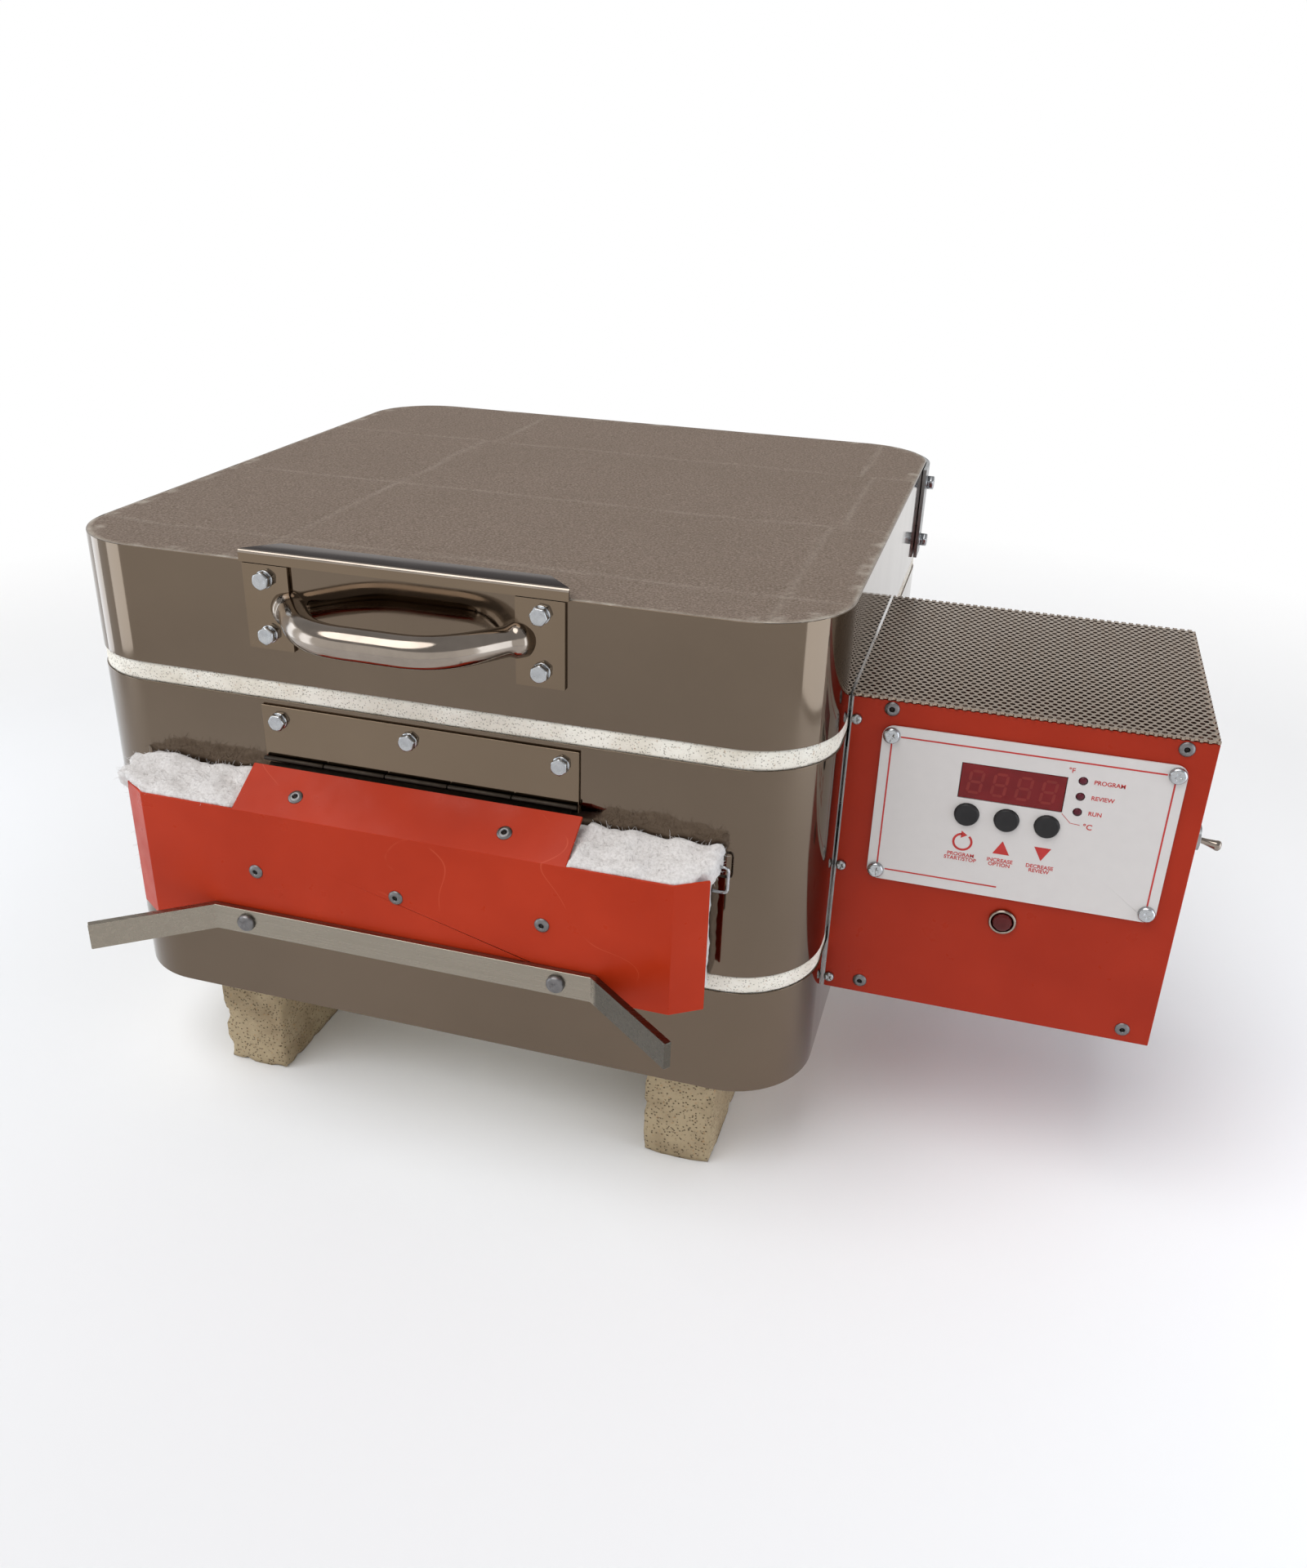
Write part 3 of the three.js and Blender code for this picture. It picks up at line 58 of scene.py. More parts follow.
def span(node):
    """A node's lowest and highest corners, in millimetres in the row frame."""
    lo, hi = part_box(node)
    return lo / MM, hi / MM


SHELL = span("body_band")
AXIS_X = (SHELL[0].x + SHELL[1].x) / 2
AXIS_Y = (SHELL[0].y + SHELL[1].y) / 2
HALF = (SHELL[1].x - SHELL[0].x) / 2
RING_TOP = SHELL[1].z
RING_BOTTOM = span("floor_slab")[1].z
LID_TOP = span("lid_band")[1].z


def local(node):
    """A node's corners in kiln measures."""
    lo, hi = span(node)
    shift = Vector((AXIS_X, AXIS_Y, 0))
    return lo - shift, hi - shift


BOX_LOW, BOX_HIGH = local("box_chassis")
BOX_X = (BOX_LOW.x + BOX_HIGH.x) / 2
BOX_FRONT = local("front_panel")[0].y
COVER_LOW, COVER_HIGH = local("top_cover")
FACE_LOW, FACE_HIGH = local("face_plate")
FACE_Z = (FACE_LOW.z + FACE_HIGH.z) / 2
FACE_Y = FACE_LOW.y
GAP = 0.3


def at(x, y, z):
    return Vector(((AXIS_X + x) * MM, (AXIS_Y + y) * MM, z * MM))


# ---------------------------------------------------------------- material kit
class Surface:
    """A Principled material with short calls for its procedural detail. Sizes are in millimetres."""

    def __init__(self, name, rough=0.5, metallic=0.0, **sockets):
        self.material = bpy.data.materials.new(name)
        self.material.use_nodes = True
        self.tree = self.material.node_tree
        self.bsdf = self.tree.nodes["Principled BSDF"]
        self.coords = self.node("ShaderNodeTexCoord").outputs["Object"]
        self.bsdf.inputs["Roughness"].default_value = rough
        self.bsdf.inputs["Metallic"].default_value = metallic
        for key, value in sockets.items():
            self.bsdf.inputs[key.replace("_", " ")].default_value = value
        self.normal = None

    def node(self, kind, **settings):
        made = self.tree.nodes.new(kind)
        for key, value in settings.items():
            setattr(made, key, value)
        return made

    def link(self, a, b):
        self.tree.links.new(a, b)

    def stretched(self, factors):
        mapping = self.node("ShaderNodeMapping")
        mapping.inputs["Scale"].default_value = factors
        self.link(self.coords, mapping.inputs["Vector"])
        return mapping.outputs["Vector"]

    def noise(self, size, detail=2.0, stretch=None, rough=0.5):
        made = self.node("ShaderNodeTexNoise")
        made.inputs["Scale"].default_value = 1000 / size
        made.inputs["Detail"].default_value = detail
        made.inputs["Roughness"].default_value = rough
        self.link(self.stretched(stretch) if stretch else self.coords, made.inputs["Vector"])
        return made.outputs["Fac"]

    def cells(self, size, feature="F1", randomness=1.0):
        made = self.node("ShaderNodeTexVoronoi", feature=feature)
        made.inputs["Scale"].default_value = 1000 / size
        made.inputs["Randomness"].default_value = randomness
        self.link(self.coords, made.inputs["Vector"])
        return made.outputs["Distance"]

    def remap(self, value, low, high, to_low=0.0, to_high=1.0):
        made = self.node("ShaderNodeMapRange")
        self.link(value, made.inputs["Value"])
        for key, number in zip(("From Min", "From Max", "To Min", "To Max"), (low, high, to_low, to_high)):
            made.inputs[key].default_value = number
        return made.outputs["Result"]

    def combine(self, operation, a, b):
        made = self.node("ShaderNodeMath", operation=operation)
        for socket, value in zip(made.inputs, (a, b)):
            if isinstance(value, (int, float)):
                socket.default_value = value
            else:
                self.link(value, socket)
        return made.outputs["Value"]

    def ramp(self, value, stops):
        made = self.node("ShaderNodeValToRGB")
        ramp = made.color_ramp
        while len(ramp.elements) < len(stops):
            ramp.elements.new(0.5)
        for element, (place, colour) in zip(ramp.elements, stops):
            element.position = place
            element.color = (*colour, 1)
        self.link(value, made.inputs["Fac"])
        return made.outputs["Color"]

    def blend(self, factor, a, b, kind="MIX"):
        made = self.node("ShaderNodeMix", data_type="RGBA", blend_type=kind)
        colours = [s for s in made.inputs if s.type == "RGBA"]
        for socket, value in ((made.inputs[0], factor), (colours[0], a), (colours[1], b)):
            if isinstance(value, tuple):
                socket.default_value = (*value, 1)
            elif isinstance(value, (int, float)):
                socket.default_value = value
            else:
                self.link(value, socket)
        return [s for s in made.outputs if s.type == "RGBA"][0]

    def axis(self, name):
        made = self.node("ShaderNodeSeparateXYZ")
        self.link(self.coords, made.inputs["Vector"])
        return made.outputs[name]

    def colour(self, value):
        self.link(value, self.bsdf.inputs["Base Color"])

    def roughness(self, value, low, high):
        self.link(self.remap(value, 0.3, 0.7, low, high), self.bsdf.inputs["Roughness"])

    def bump(self, height, depth, strength=1.0):
        made = self.node("ShaderNodeBump")
        made.inputs["Distance"].default_value = depth * MM
        made.inputs["Strength"].default_value = strength
        self.link(height, made.inputs["Height"])
        if self.normal:
            self.link(self.normal, made.inputs["Normal"])
        self.normal = made.outputs["Normal"]
        self.link(self.normal, self.bsdf.inputs["Normal"])


def tint(red, green, blue):
    """Linear colour of an sRGB triple, 0 to 255."""
    return tuple((c / 255) ** 2.2 for c in (red, green, blue))


def steel_material(name, colour, rough, film=0.03):
    s = Surface(name, rough, 1.0)
    clouds = s.noise(90, 3)
    s.colour(s.ramp(clouds, [(0.3, tuple(c * 0.94 for c in colour)), (0.7, tuple(c * 1.05 for c in colour))]))
    s.roughness(s.noise(14, 4, (1, 1, 0.15)), rough - film, rough + film)
    s.bump(s.noise(55, 1), 0.05)
    s.bump(s.noise(0.7, 2, (1, 1, 0.06)), 0.0006)
    return s.material


def metal_material(name, colour, rough, grain=1.2, depth=0.01):
    s = Surface(name, rough, 1.0)
    speck = s.noise(grain * 4, 4)
    s.colour(s.ramp(speck, [(0.3, tuple(c * 0.82 for c in colour)), (0.65, colour)]))
    s.roughness(s.noise(grain * 3, 3), rough - 0.08, rough + 0.1)
    s.bump(s.noise(grain, 3), depth)
    return s.material


def brushed_material(name, colour, rough, along, vary=0.2, painted_shade_x=None):
    """Drawn metal. Past the X given in metres, painted shade darkens the colour."""
    s = Surface(name, rough, 1.0)
    streak = s.noise(1.6, 4, along)
    stops = [(0.25, 1 - vary), (0.75, 1 + vary / 2)]
    base = s.ramp(streak, [(at, tuple(min(1, c * k) for c in colour)) for at, k in stops])
    if painted_shade_x is not None:
        split = s.node("ShaderNodeSeparateXYZ")
        s.link(s.coords, split.inputs[0])
        # Painted shade: beyond that X the colour falls to 0.34 of itself.
        painted_shade_mask = s.remap(split.outputs["X"], painted_shade_x, painted_shade_x + 0.002)
        base = s.blend(painted_shade_mask, base, tuple(c * 0.34 for c in colour))
    s.colour(base)
    s.roughness(streak, rough - 0.07, rough + 0.1)
    s.bump(streak, 0.008)
    return s.material


def brick_material(name, light, dark, pit_size=1.1, pits=0.35):
    """Insulating firebrick: chalky, with open pores darkened by painted shade, crumbs and tan specks."""
    s = Surface(name, 0.95, Specular_IOR_Level=0.2)
    patches = s.noise(24, 5, rough=0.6)
    body = s.ramp(patches, [(0.3, dark), (0.62, light)])
    pores = s.remap(s.cells(pit_size), 0.12, 0.34, 0.0, 1.0)
    # Painted shade: the pores' centres darken to 0.55 of the dark tint.
    shade = tuple(c * 0.55 for c in dark)
    body = s.blend(pores, shade, body)
    specks = s.remap(s.noise(1.6, 1), 0.66, 0.74)
    s.colour(s.blend(s.combine("MULTIPLY", specks, 0.5), body, tint(170, 128, 84)))
    s.bump(s.combine("MULTIPLY", pores, 1.0), pits)
    s.bump(s.noise(0.9, 4, rough=0.7), 0.22)
    return s.material


def coating_material():
    """Grey-brown refractory wash on the lid: sandy, with paler joints where the bricks meet."""
    s = Surface("lid_wash", 0.9, Specular_IOR_Level=0.25)
    sand = s.noise(1.1, 3, rough=0.75)
    base = s.ramp(sand, [(0.32, tint(102, 89, 78)), (0.5, tint(128, 113, 101)), (0.7, tint(156, 141, 129))])
    patches = s.remap(s.noise(60, 4), 0.3, 0.7)
    base = s.blend(s.combine("MULTIPLY", patches, 0.16), base, tint(112, 99, 86))
    grey = s.node("ShaderNodeAttribute", attribute_name="wear").outputs["Fac"]
    s.colour(s.blend(grey, base, tint(205, 196, 182)))
    s.bump(sand, 0.3)
    s.bump(s.cells(1.5), 0.12)
    return s.material


def paint_material(name, deep, pale, rubbed=0.0):
    """Orange enamel: faint orange peel, cloudy gloss and, on the door, a few fine rubbed lines."""
    s = Surface(name, 0.36, Specular_IOR_Level=0.15)
    base = s.ramp(s.noise(45, 3), [(0.3, deep), (0.7, pale)])
    if rubbed:
        line = s.combine("ABSOLUTE", s.combine("SUBTRACT", s.noise(120, 2), 0.54), 0.0)
        thin = s.remap(line, 0.0, 0.0012, 1.0, 0.0)
        broken = s.remap(s.noise(28, 3), 0.52, 0.58)
        scratch = s.combine("MULTIPLY", thin, broken)
        base = s.blend(s.combine("MULTIPLY", scratch, rubbed), base, tint(226, 112, 84))
    s.colour(base)
    s.roughness(s.noise(9, 4), 0.27, 0.4)
    s.bump(s.noise(2.4, 2), 0.012)
    return s.material


def fibre_material():
    s = Surface("ceramic_blanket", 1.0, Specular_IOR_Level=0.1, Sheen_Weight=0.25, Sheen_Roughness=0.6)
    strands = s.noise(1.1, 4, (1, 1, 0.35), 0.7)
    s.colour(s.ramp(strands, [(0.25, tint(196, 190, 186)), (0.6, tint(230, 226, 223))]))
    s.bump(strands, 0.1)
    s.bump(s.noise(7, 3), 0.5)
    return s.material


def plastic_material(name, colour, rough, texture=0.004, spec=0.5, vary=0.09):
    s = Surface(name, rough, Specular_IOR_Level=spec)
    clouds = s.noise(6, 3)
    s.colour(s.ramp(clouds, [(0.3, tuple(c * (1 - vary) for c in colour)), (0.7, tuple(c * (1 + vary) for c in colour))]))
    s.roughness(s.noise(1.2, 3), max(0.02, rough - 0.04), rough + 0.06)
    s.bump(s.noise(0.5, 2), texture)
    return s.material


def lens_material(name, colour):
    s = Surface(name, 0.12, Specular_IOR_Level=0.25)
    s.colour(s.ramp(s.noise(9, 2), [(0.35, tuple(c * 0.8 for c in colour)), (0.7, colour)]))
    s.bump(s.noise(7, 1), 0.004)
    return s.material


def floor_material():
    """Pale floor that keeps the shadow near the object and is plain white far from it."""
    s = Surface("pale_floor", 0.9, Specular_IOR_Level=0.1)
    s.colour(s.ramp(s.noise(900, 2), [(0.3, (0.87, 0.87, 0.87)), (0.7, (0.89, 0.89, 0.89))]))
    length = s.node("ShaderNodeVectorMath", operation="LENGTH")
    s.link(s.coords, length.inputs[0])
    far = s.remap(length.outputs["Value"], 0.66, 1.1)
    path = s.node("ShaderNodeLightPath")
    seen = s.combine("ADD", path.outputs["Is Camera Ray"], path.outputs["Is Glossy Ray"])
    seen = s.combine("ADD", seen, path.outputs["Is Transmission Ray"])
    glow = s.node("ShaderNodeEmission")
    glow.inputs["Color"].default_value = (1, 1, 1, 1)
    mix = s.node("ShaderNodeMixShader")
    s.link(s.combine("MULTIPLY", far, s.combine("MINIMUM", seen, 1.0)), mix.inputs[0])
    s.link(s.bsdf.outputs[0], mix.inputs[1])
    s.link(glow.outputs[0], mix.inputs[2])
    s.link(mix.outputs[0], s.tree.nodes["Material Output"].inputs["Surface"])
    return s.material


STEEL = tint(112, 99, 86)
MATERIAL = {
    "band": steel_material("mirror_steel", STEEL, 0.07),
    # The guard's flange: the same steel, darkened as a painted reflection.
    "guard": steel_material("guard_steel_painted_reflection", tint(66, 54, 48), 0.12),
    # Dark steel for the door hinge's zinc barrels and leaf: painted shade for the shadow they sit in.
    "dark_steel": metal_material("dark_steel", tint(66, 60, 54), 0.5, 0.8, 0.02),
    "plate": steel_material("plate_steel", tint(122, 107, 91), 0.1),
    "chrome": metal_material("bright_chrome", tint(156, 145, 134), 0.12, 3, 0.003),
    "zinc": metal_material("zinc_plate", tint(166, 168, 168), 0.34, 1.0, 0.02),
    "bright_zinc": metal_material("bright_zinc", tint(184, 186, 188), 0.24, 0.9, 0.015),
    "rivet": metal_material("rivet_alloy", tint(126, 124, 124), 0.4, 0.7, 0.02),
    # The rivet stems' near-black is painted shade for the rivet's hollow centre; the stem itself is a real part.
    "mandrel": metal_material("rivet_mandrel_painted_shade", tint(52, 48, 46), 0.55, 0.5, 0.03),
    # The door bar: its right arm, past X = 0.0075 m, takes painted shade.
    "aluminium": brushed_material("dull_aluminium", tint(152, 144, 131), 0.24, (0.04, 1, 1), 0.1, 0.0075),
    "perforated": brushed_material("perforated_sheet", tint(168, 152, 136), 0.3, (1, 0.06, 1)),
    "wire": metal_material("resistance_wire", tint(92, 84, 76), 0.55, 0.4, 0.01),
    "brick": brick_material("firebrick", tint(250, 245, 233), tint(228, 219, 202), pits=0.2),
    # The feet's tints are their own tan, darkened further as painted shade for the shadow under the kiln.
    "foot": brick_material("cut_firebrick_painted_shade", tint(178, 160, 130), tint(142, 124, 98), 1.6, 0.5),
    "wash": coating_material(),
    "orange": paint_material("orange_enamel", tint(158, 46, 26), tint(168, 51, 30)),
    "door": paint_material("door_enamel", tint(174, 51, 24), tint(185, 57, 30), 0.3),
    "fibre": fibre_material(),
    "porcelain": plastic_material("glazed_porcelain", tint(226, 220, 206), 0.3, 0.01),
    "face": plastic_material("white_overlay", tint(213, 208, 205), 0.36, spec=0.3, vary=0.012),
    "board": plastic_material("circuit_board", tint(30, 82, 48), 0.45, 0.01),
    "red_print": plastic_material("red_print", tint(186, 44, 40), 0.5, 0.001),
    "window": lens_material("display_red", tint(122, 32, 34)),
    "digit": plastic_material("unlit_segments", tint(128, 42, 38), 0.2, 0.001, 0.3),
    "led": lens_material("led_dark_red", tint(92, 32, 44)),
    "lamp": lens_material("lamp_dark_red", tint(92, 30, 30)),
    "black": plastic_material("black_plastic", tint(32, 30, 31), 0.36, 0.01, 0.35),
}


# ---------------------------------------------------------------- mesh kit
def piece(name, verts, faces, material, body, slot=None, replaces=(), smooth=True):
    """A mesh from row-frame points in metres that rides on a body."""
    mesh = bpy.data.meshes.new(name)
    mesh.from_pydata([tuple(v) for v in verts], [], [tuple(f) for f in faces])
    mesh.validate()
    return dress(mesh, name, material, body, replaces, smooth)


def dress(mesh, name, material, body, replaces=(), smooth=True):
    bm = bmesh.new()
    bm.from_mesh(mesh)
    bmesh.ops.recalc_face_normals(bm, faces=bm.faces)
    bm.to_mesh(mesh)
    bm.free()
    mesh.materials.clear()
    mesh.materials.append(MATERIAL[material])
    mesh.polygons.foreach_set("use_smooth", [smooth] * len(mesh.polygons))
    obj = bpy.data.objects.new(name, mesh)
    bpy.context.scene.collection.objects.link(obj)
    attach(obj, body)
    if replaces:
        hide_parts(*replaces)
    return obj


def soften(obj, width, segments=2, angle=30, weld=False):
    """Rounds the sharp edges by width millimetres."""
    if weld:
        merge = obj.modifiers.new("weld", "WELD")
        merge.merge_threshold = 0.00001
    round_ = obj.modifiers.new("soften", "BEVEL")
    round_.width = width * MM
    round_.segments = segments
    round_.limit_method = "ANGLE"
    round_.angle_limit = math.radians(angle)
    round_.harden_normals = True
    round_.miter_outer = "MITER_ARC"
    return obj


def thicken(obj, thickness, offset=-1.0):
    sheet = obj.modifiers.new("thickness", "SOLIDIFY")
    sheet.thickness = thickness * MM
    sheet.offset = offset
    sheet.use_even_offset = True
    return obj


def frame_of(direction):
    """Two unit vectors square to a direction."""
    along = Vector(direction).normalized()
    helper = Vector((0, 0, 1)) if abs(along.z) < 0.9 else Vector((1, 0, 0))
    side = along.cross(helper).normalized()
    return side, side.cross(along).normalized(), along


def lathe(profile, origin, direction, sides=32):
    """Verts and faces of a turned solid. profile holds (radius, height) pairs in mm, ends on the axis."""
    u, v, w = frame_of(direction)
    verts, faces, rings = [], [], []
    for radius, height in profile:
        centre = origin + w * height * MM
        if radius < 1e-6:
            rings.append([len(verts)] * sides)
            verts.append(centre)
            continue
        rings.append(list(range(len(verts), len(verts) + sides)))
        for i in range(sides):
            a = 2 * math.pi * i / sides
            verts.append(centre + (u * math.cos(a) + v * math.sin(a)) * radius * MM)
    for low, high in zip(rings, rings[1:]):
        for i in range(sides):
            j = (i + 1) % sides
            ring = [low[i], low[j], high[j], high[i]]
            unique = list(dict.fromkeys(ring))
            if len(unique) > 2:
                faces.append(unique)
    return verts, faces


def merged(*parts):
    """Several (verts, faces) pairs as one."""
    verts, faces = [], []
    for v, f in parts:
        base = len(verts)
        verts += list(v)
        faces += [[i + base for i in face] for face in f]
    return verts, faces


def tube(path, radius, sides=12, closed=False):
    """Verts and faces of a round tube along points in metres. radius is a number or one for each point, in mm."""
    points = [Vector(p) for p in path]
    count = len(points)
    radii = [radius] * count if isinstance(radius, (int, float)) else list(radius)
    tangents = []
    for i in range(count):
        before = points[i - 1] if closed or i else points[0]
        after = points[(i + 1) % count] if closed or i < count - 1 else points[-1]
        tangents.append((after - before).normalized())
    side = frame_of(tangents[0])[0]
    verts, faces = [], []
    for point, along, r in zip(points, tangents, radii):
        side = (side - along * side.dot(along)).normalized()
        up = along.cross(side)
        for k in range(sides):
            a = 2 * math.pi * k / sides
            verts.append(point + (side * math.cos(a) + up * math.sin(a)) * r * MM)
    for i in range(count if closed else count - 1):
        for k in range(sides):
            a, b = i * sides, ((i + 1) % count) * sides
            m = (k + 1) % sides
            faces.append([a + k, a + m, b + m, b + k])
    if not closed:
        faces.append(list(range(sides))[::-1])
        faces.append(list(range((count - 1) * sides, count * sides)))
    return verts, faces


def slab(low, high):
    """A block between two kiln points in mm, as verts and faces."""
    xs, ys, zs = zip(low, high)
    verts = [at(x, y, z) for z in zs for y in ys for x in xs]
    return verts, [[0, 2, 3, 1], [4, 5, 7, 6], [0, 1, 5, 4], [2, 6, 7, 3], [0, 4, 6, 2], [1, 3, 7, 5]]


def rounded_square(half, radius, steps=12):
    """Plan outline of a square with round corners, counter-clockwise."""
    points = []
    inner = half - radius
    for k, (sx, sy) in enumerate(((1, -1), (1, 1), (-1, 1), (-1, -1))):
        start = -math.pi / 2 + k * math.pi / 2
        for i in range(steps + 1):
            a = start + i * math.pi / 2 / steps
            points.append((sx * inner + radius * math.cos(a), sy * inner + radius * math.sin(a)))
    return points


def subdivided(points, longest):
    """A closed outline with its long sides split."""
    out = []
    for (x0, y0), (x1, y1) in zip(points, points[1:] + points[:1]):
        parts = max(1, math.ceil(math.hypot(x1 - x0, y1 - y0) / longest))
        out += [(x0 + (x1 - x0) * i / parts, y0 + (y1 - y0) * i / parts) for i in range(parts)]
    return out


# ---------------------------------------------------------------- fasteners
def hex_head(origin, direction, flats, height, sides=48, turn=0.0):
    """A chamfered hexagon head, its seat at origin."""
    u, v, w = frame_of(direction)
    crown = flats / 2 * 0.93
    verts, faces = [], []
    for layer in range(4):
        for i in range(sides):
            a = 2 * math.pi * i / sides
            wedge = (a + turn) % (math.pi / 3) - math.pi / 6
            edge = flats / 2 / math.cos(wedge)
            radius = (edge, edge, crown, crown * 0.72)[layer]
            rise = (0, height - (edge - crown) * 0.55, height, height - 0.25)[layer]
            verts.append(origin + (u * math.cos(a) + v * math.sin(a)) * radius * MM + w * rise * MM)
    for layer in range(3):
        for i in range(sides):
            j = (i + 1) % sides
            a, b = layer * sides, (layer + 1) * sides
            faces.append([a + i, a + j, b + j, b + i])
    faces.append(list(range(sides))[::-1])
    faces.append(list(range(3 * sides, 4 * sides)))
    return verts, faces


def bolt(origin, direction, flats=8.0, height=3.6, turn=0.0):
    """Hexagon head on a washer."""
    w = Vector(direction).normalized()
    washer = [(0, -0.1), (flats * 0.57, -0.1), (flats * 0.58, 0.15), (flats * 0.55, 0.5), (0, 0.5)]
    return merged(
        lathe(washer, origin, w),
        hex_head(origin + w * 0.55 * MM, w, flats, height - 0.55, turn=turn),
    )


def rivet(origin, direction, radius=4.0):
    """A blind rivet's domed flange with its hollow centre."""
    profile = [
        (0, -0.2),
        (radius, -0.2),
        (radius, 0.25),
        (radius * 0.9, 0.6),
        (radius * 0.62, 1.05),
        (radius * 0.42, 1.15),
        (radius * 0.36, 1.0),
        (radius * 0.36, 0.35),
        (0, 0.35),
    ]
    return lathe(profile, origin, direction, 28)


def rivet_stem(origin, direction, radius=4.0):
    """The snapped stem inside a rivet."""
    profile = [(0, 0.3), (radius * 0.3, 0.3), (radius * 0.28, 0.72), (radius * 0.12, 0.8), (0, 0.74)]
    return lathe(profile, origin, direction, 16)


def pan_screw(origin, direction, radius=3.7, height=2.0, turn=0.3):
    """A cross-recessed pan head."""
    u, v, w = frame_of(direction)
    rings = [(1.0, 0), (1.0, 0.35), (0.93, 0.68), (0.75, 0.9), (0.5, 0.98), (0.3, 1.0), (0.12, 1.0)]
    sides = 48
    verts, faces = [], []
    for r, h in rings:
        for i in range(sides):
            a = 2 * math.pi * i / sides
            point = Vector((math.cos(a), math.sin(a), 0)) * r * radius
            x = point.x * math.cos(turn) + point.y * math.sin(turn)
            y = -point.x * math.sin(turn) + point.y * math.cos(turn)
            across = min(abs(x), abs(y))
            reach = max(abs(x), abs(y))
            sunk = h > 0.6 and across < 0.13 * radius and reach < 0.6 * radius
            rise = h * height - (0.9 * (1 - reach / (0.7 * radius)) if sunk else 0)
            verts.append(origin + (u * point.x + v * point.y + w * rise) * MM)
    for k in range(len(rings) - 1):
        for i in range(sides):
            j = (i + 1) % sides
            faces.append([k * sides + i, k * sides + j, (k + 1) * sides + j, (k + 1) * sides + i])
    faces.append(list(range(sides))[::-1])
    faces.append(list(range((len(rings) - 1) * sides, len(rings) * sides)))
    return verts, faces


# ---------------------------------------------------------------- steel bands
CORNER = 40.0
SHEET = 0.8


def band_sheet(name, z0, z1, body, opening=None, waves=0.0):
    """One wrapped band: a sheet round the shell, its rims closed by thickness, with an optional opening."""
    outline = rounded_square(HALF, CORNER, 16)
    outline = subdivided(outline, 24)
    if opening:
        half_width, _ = opening
        split = []
        for (x0, y0), (x1, y1) in zip(outline, outline[1:] + outline[:1]):
            split.append((x0, y0))
            for x in sorted((-half_width, half_width)):
                if y0 < -HALF + 1 and y1 < -HALF + 1 and x0 < x < x1:
                    split.append((x, y0))
        outline = split
    levels = [z0, z0 + 0.6, (z0 + z1) / 2, z1 - 0.6, z1]
    if opening:
        levels = sorted([z0, opening[1], (opening[1] + z1) / 2, z1 - 0.6, z1])
    count = len(outline)
    verts = [at(x, y, z) for z in levels for x, y in outline]
    faces = []
    for level in range(len(levels) - 1):
        for i in range(count):
            j = (i + 1) % count
            middle = (outline[i][0] + outline[j][0]) / 2
            front = outline[i][1] < -HALF + 1 and outline[j][1] < -HALF + 1
            if opening and level == 0 and front and abs(middle) < opening[0]:
                continue
            a, b = level * count, (level + 1) * count
            faces.append([a + i, a + j, b + j, b + i])
    obj = piece(name, verts, faces, "band", body, "polished_steel", [name.replace("_sheet", "_band")])
    thicken(obj, SHEET)
    soften(obj, 0.25, 2, 40)
    return obj


def build_bands():
    low, high = local("floor_band")
    band_sheet("floor_sheet", low.z, high.z, "kiln")
    low, high = local("lid_band")
    band_sheet("lid_sheet", low.z, high.z, "lid")
    low, high = local("body_band")
    chamber = -local("wall_left")[1].x
    lintel = local("door_lintel")[0].z
    band_sheet("body_sheet", low.z, high.z, "kiln", (chamber, lintel))


def band_seams():
    """Where each band overlaps itself at the back, held by rivets."""
    for name, body in (("floor_band", "kiln"), ("body_band", "kiln"), ("lid_band", "lid")):
        low, high = local(name)
        y = HALF + 0.45
        x0 = -HALF + CORNER + 4
        strip = slab((x0, HALF + 0.02, low.z + 0.4), (x0 + 16, y, high.z - 0.4))
        obj = piece(name + "_seam", *strip, "band", body, "polished_steel", smooth=False)
        soften(obj, 0.15)
        rows = [low.z + 9 + i * (high.z - low.z - 18) / 2 for i in range(3)]
        heads = merged(*[rivet(at(x0 + 8, y, z), (0, 1, 0), 2.6) for z in rows])
        piece(name + "_seam_rivets", *heads, "rivet", body)


# ---------------------------------------------------------------- brickwork
def fbm(point, size, octaves=3):
    """Fractal noise at a kiln point, about -1 to 1."""
    p = Vector(point) / size
    return noise.fractal(p, 1.0, 2.0, octaves)


def rough_prism(name, z0, z1, half, radius, material, body, slot, replaces, wear, bare, step=3.0):
    """A rounded brick slab with crumbled rims. It stands proud where no band covers it, from bare[0] to bare[1]."""
    outline = subdivided(rounded_square(half, radius, 14), step)
    heights = [z0, z0 + 0.8, z0 + 2.5]
    rows = max(1, int((z1 - z0 - 5) / step))
    heights += [z0 + 2.5 + (z1 - z0 - 5) * (i + 1) / rows for i in range(rows)]
    heights += [z1 - 0.8, z1]
    edges = [bare[0] + 0.05, bare[0] + 0.8, bare[1] - 0.8, bare[1] - 0.05]
    heights = sorted(set(heights + [z for z in edges if z0 < z < z1]))
    verts, faces = [], []
    for z in heights:
        rim = min(z - z0, z1 - z)
        for x, y in outline:
            loss = wear * (0.2 + 0.8 * max(0.0, fbm((x, y, z), 5)) + (0.35 if rim < 0.5 else 0))
            length = math.hypot(x, y)
            inside = min(z - bare[0], bare[1] - z)
            proud = SHEET * max(0.0, min(1.0, (inside + 0.2) / 0.9))
            shrink = 1 - (loss - proud) / length
            verts.append(at(x * shrink, y * shrink, z))
    count = len(outline)
    for k in range(len(heights) - 1):
        for i in range(count):
            j = (i + 1) % count
            faces.append([k * count + i, k * count + j, (k + 1) * count + j, (k + 1) * count + i])
    faces.append(list(range(count))[::-1])
    faces.append(list(range((len(heights) - 1) * count, len(heights) * count)))
    return piece(name, verts, faces, material, body, slot, replaces)


SEAMS_Y = (-142.0, -28.0, 86.0)


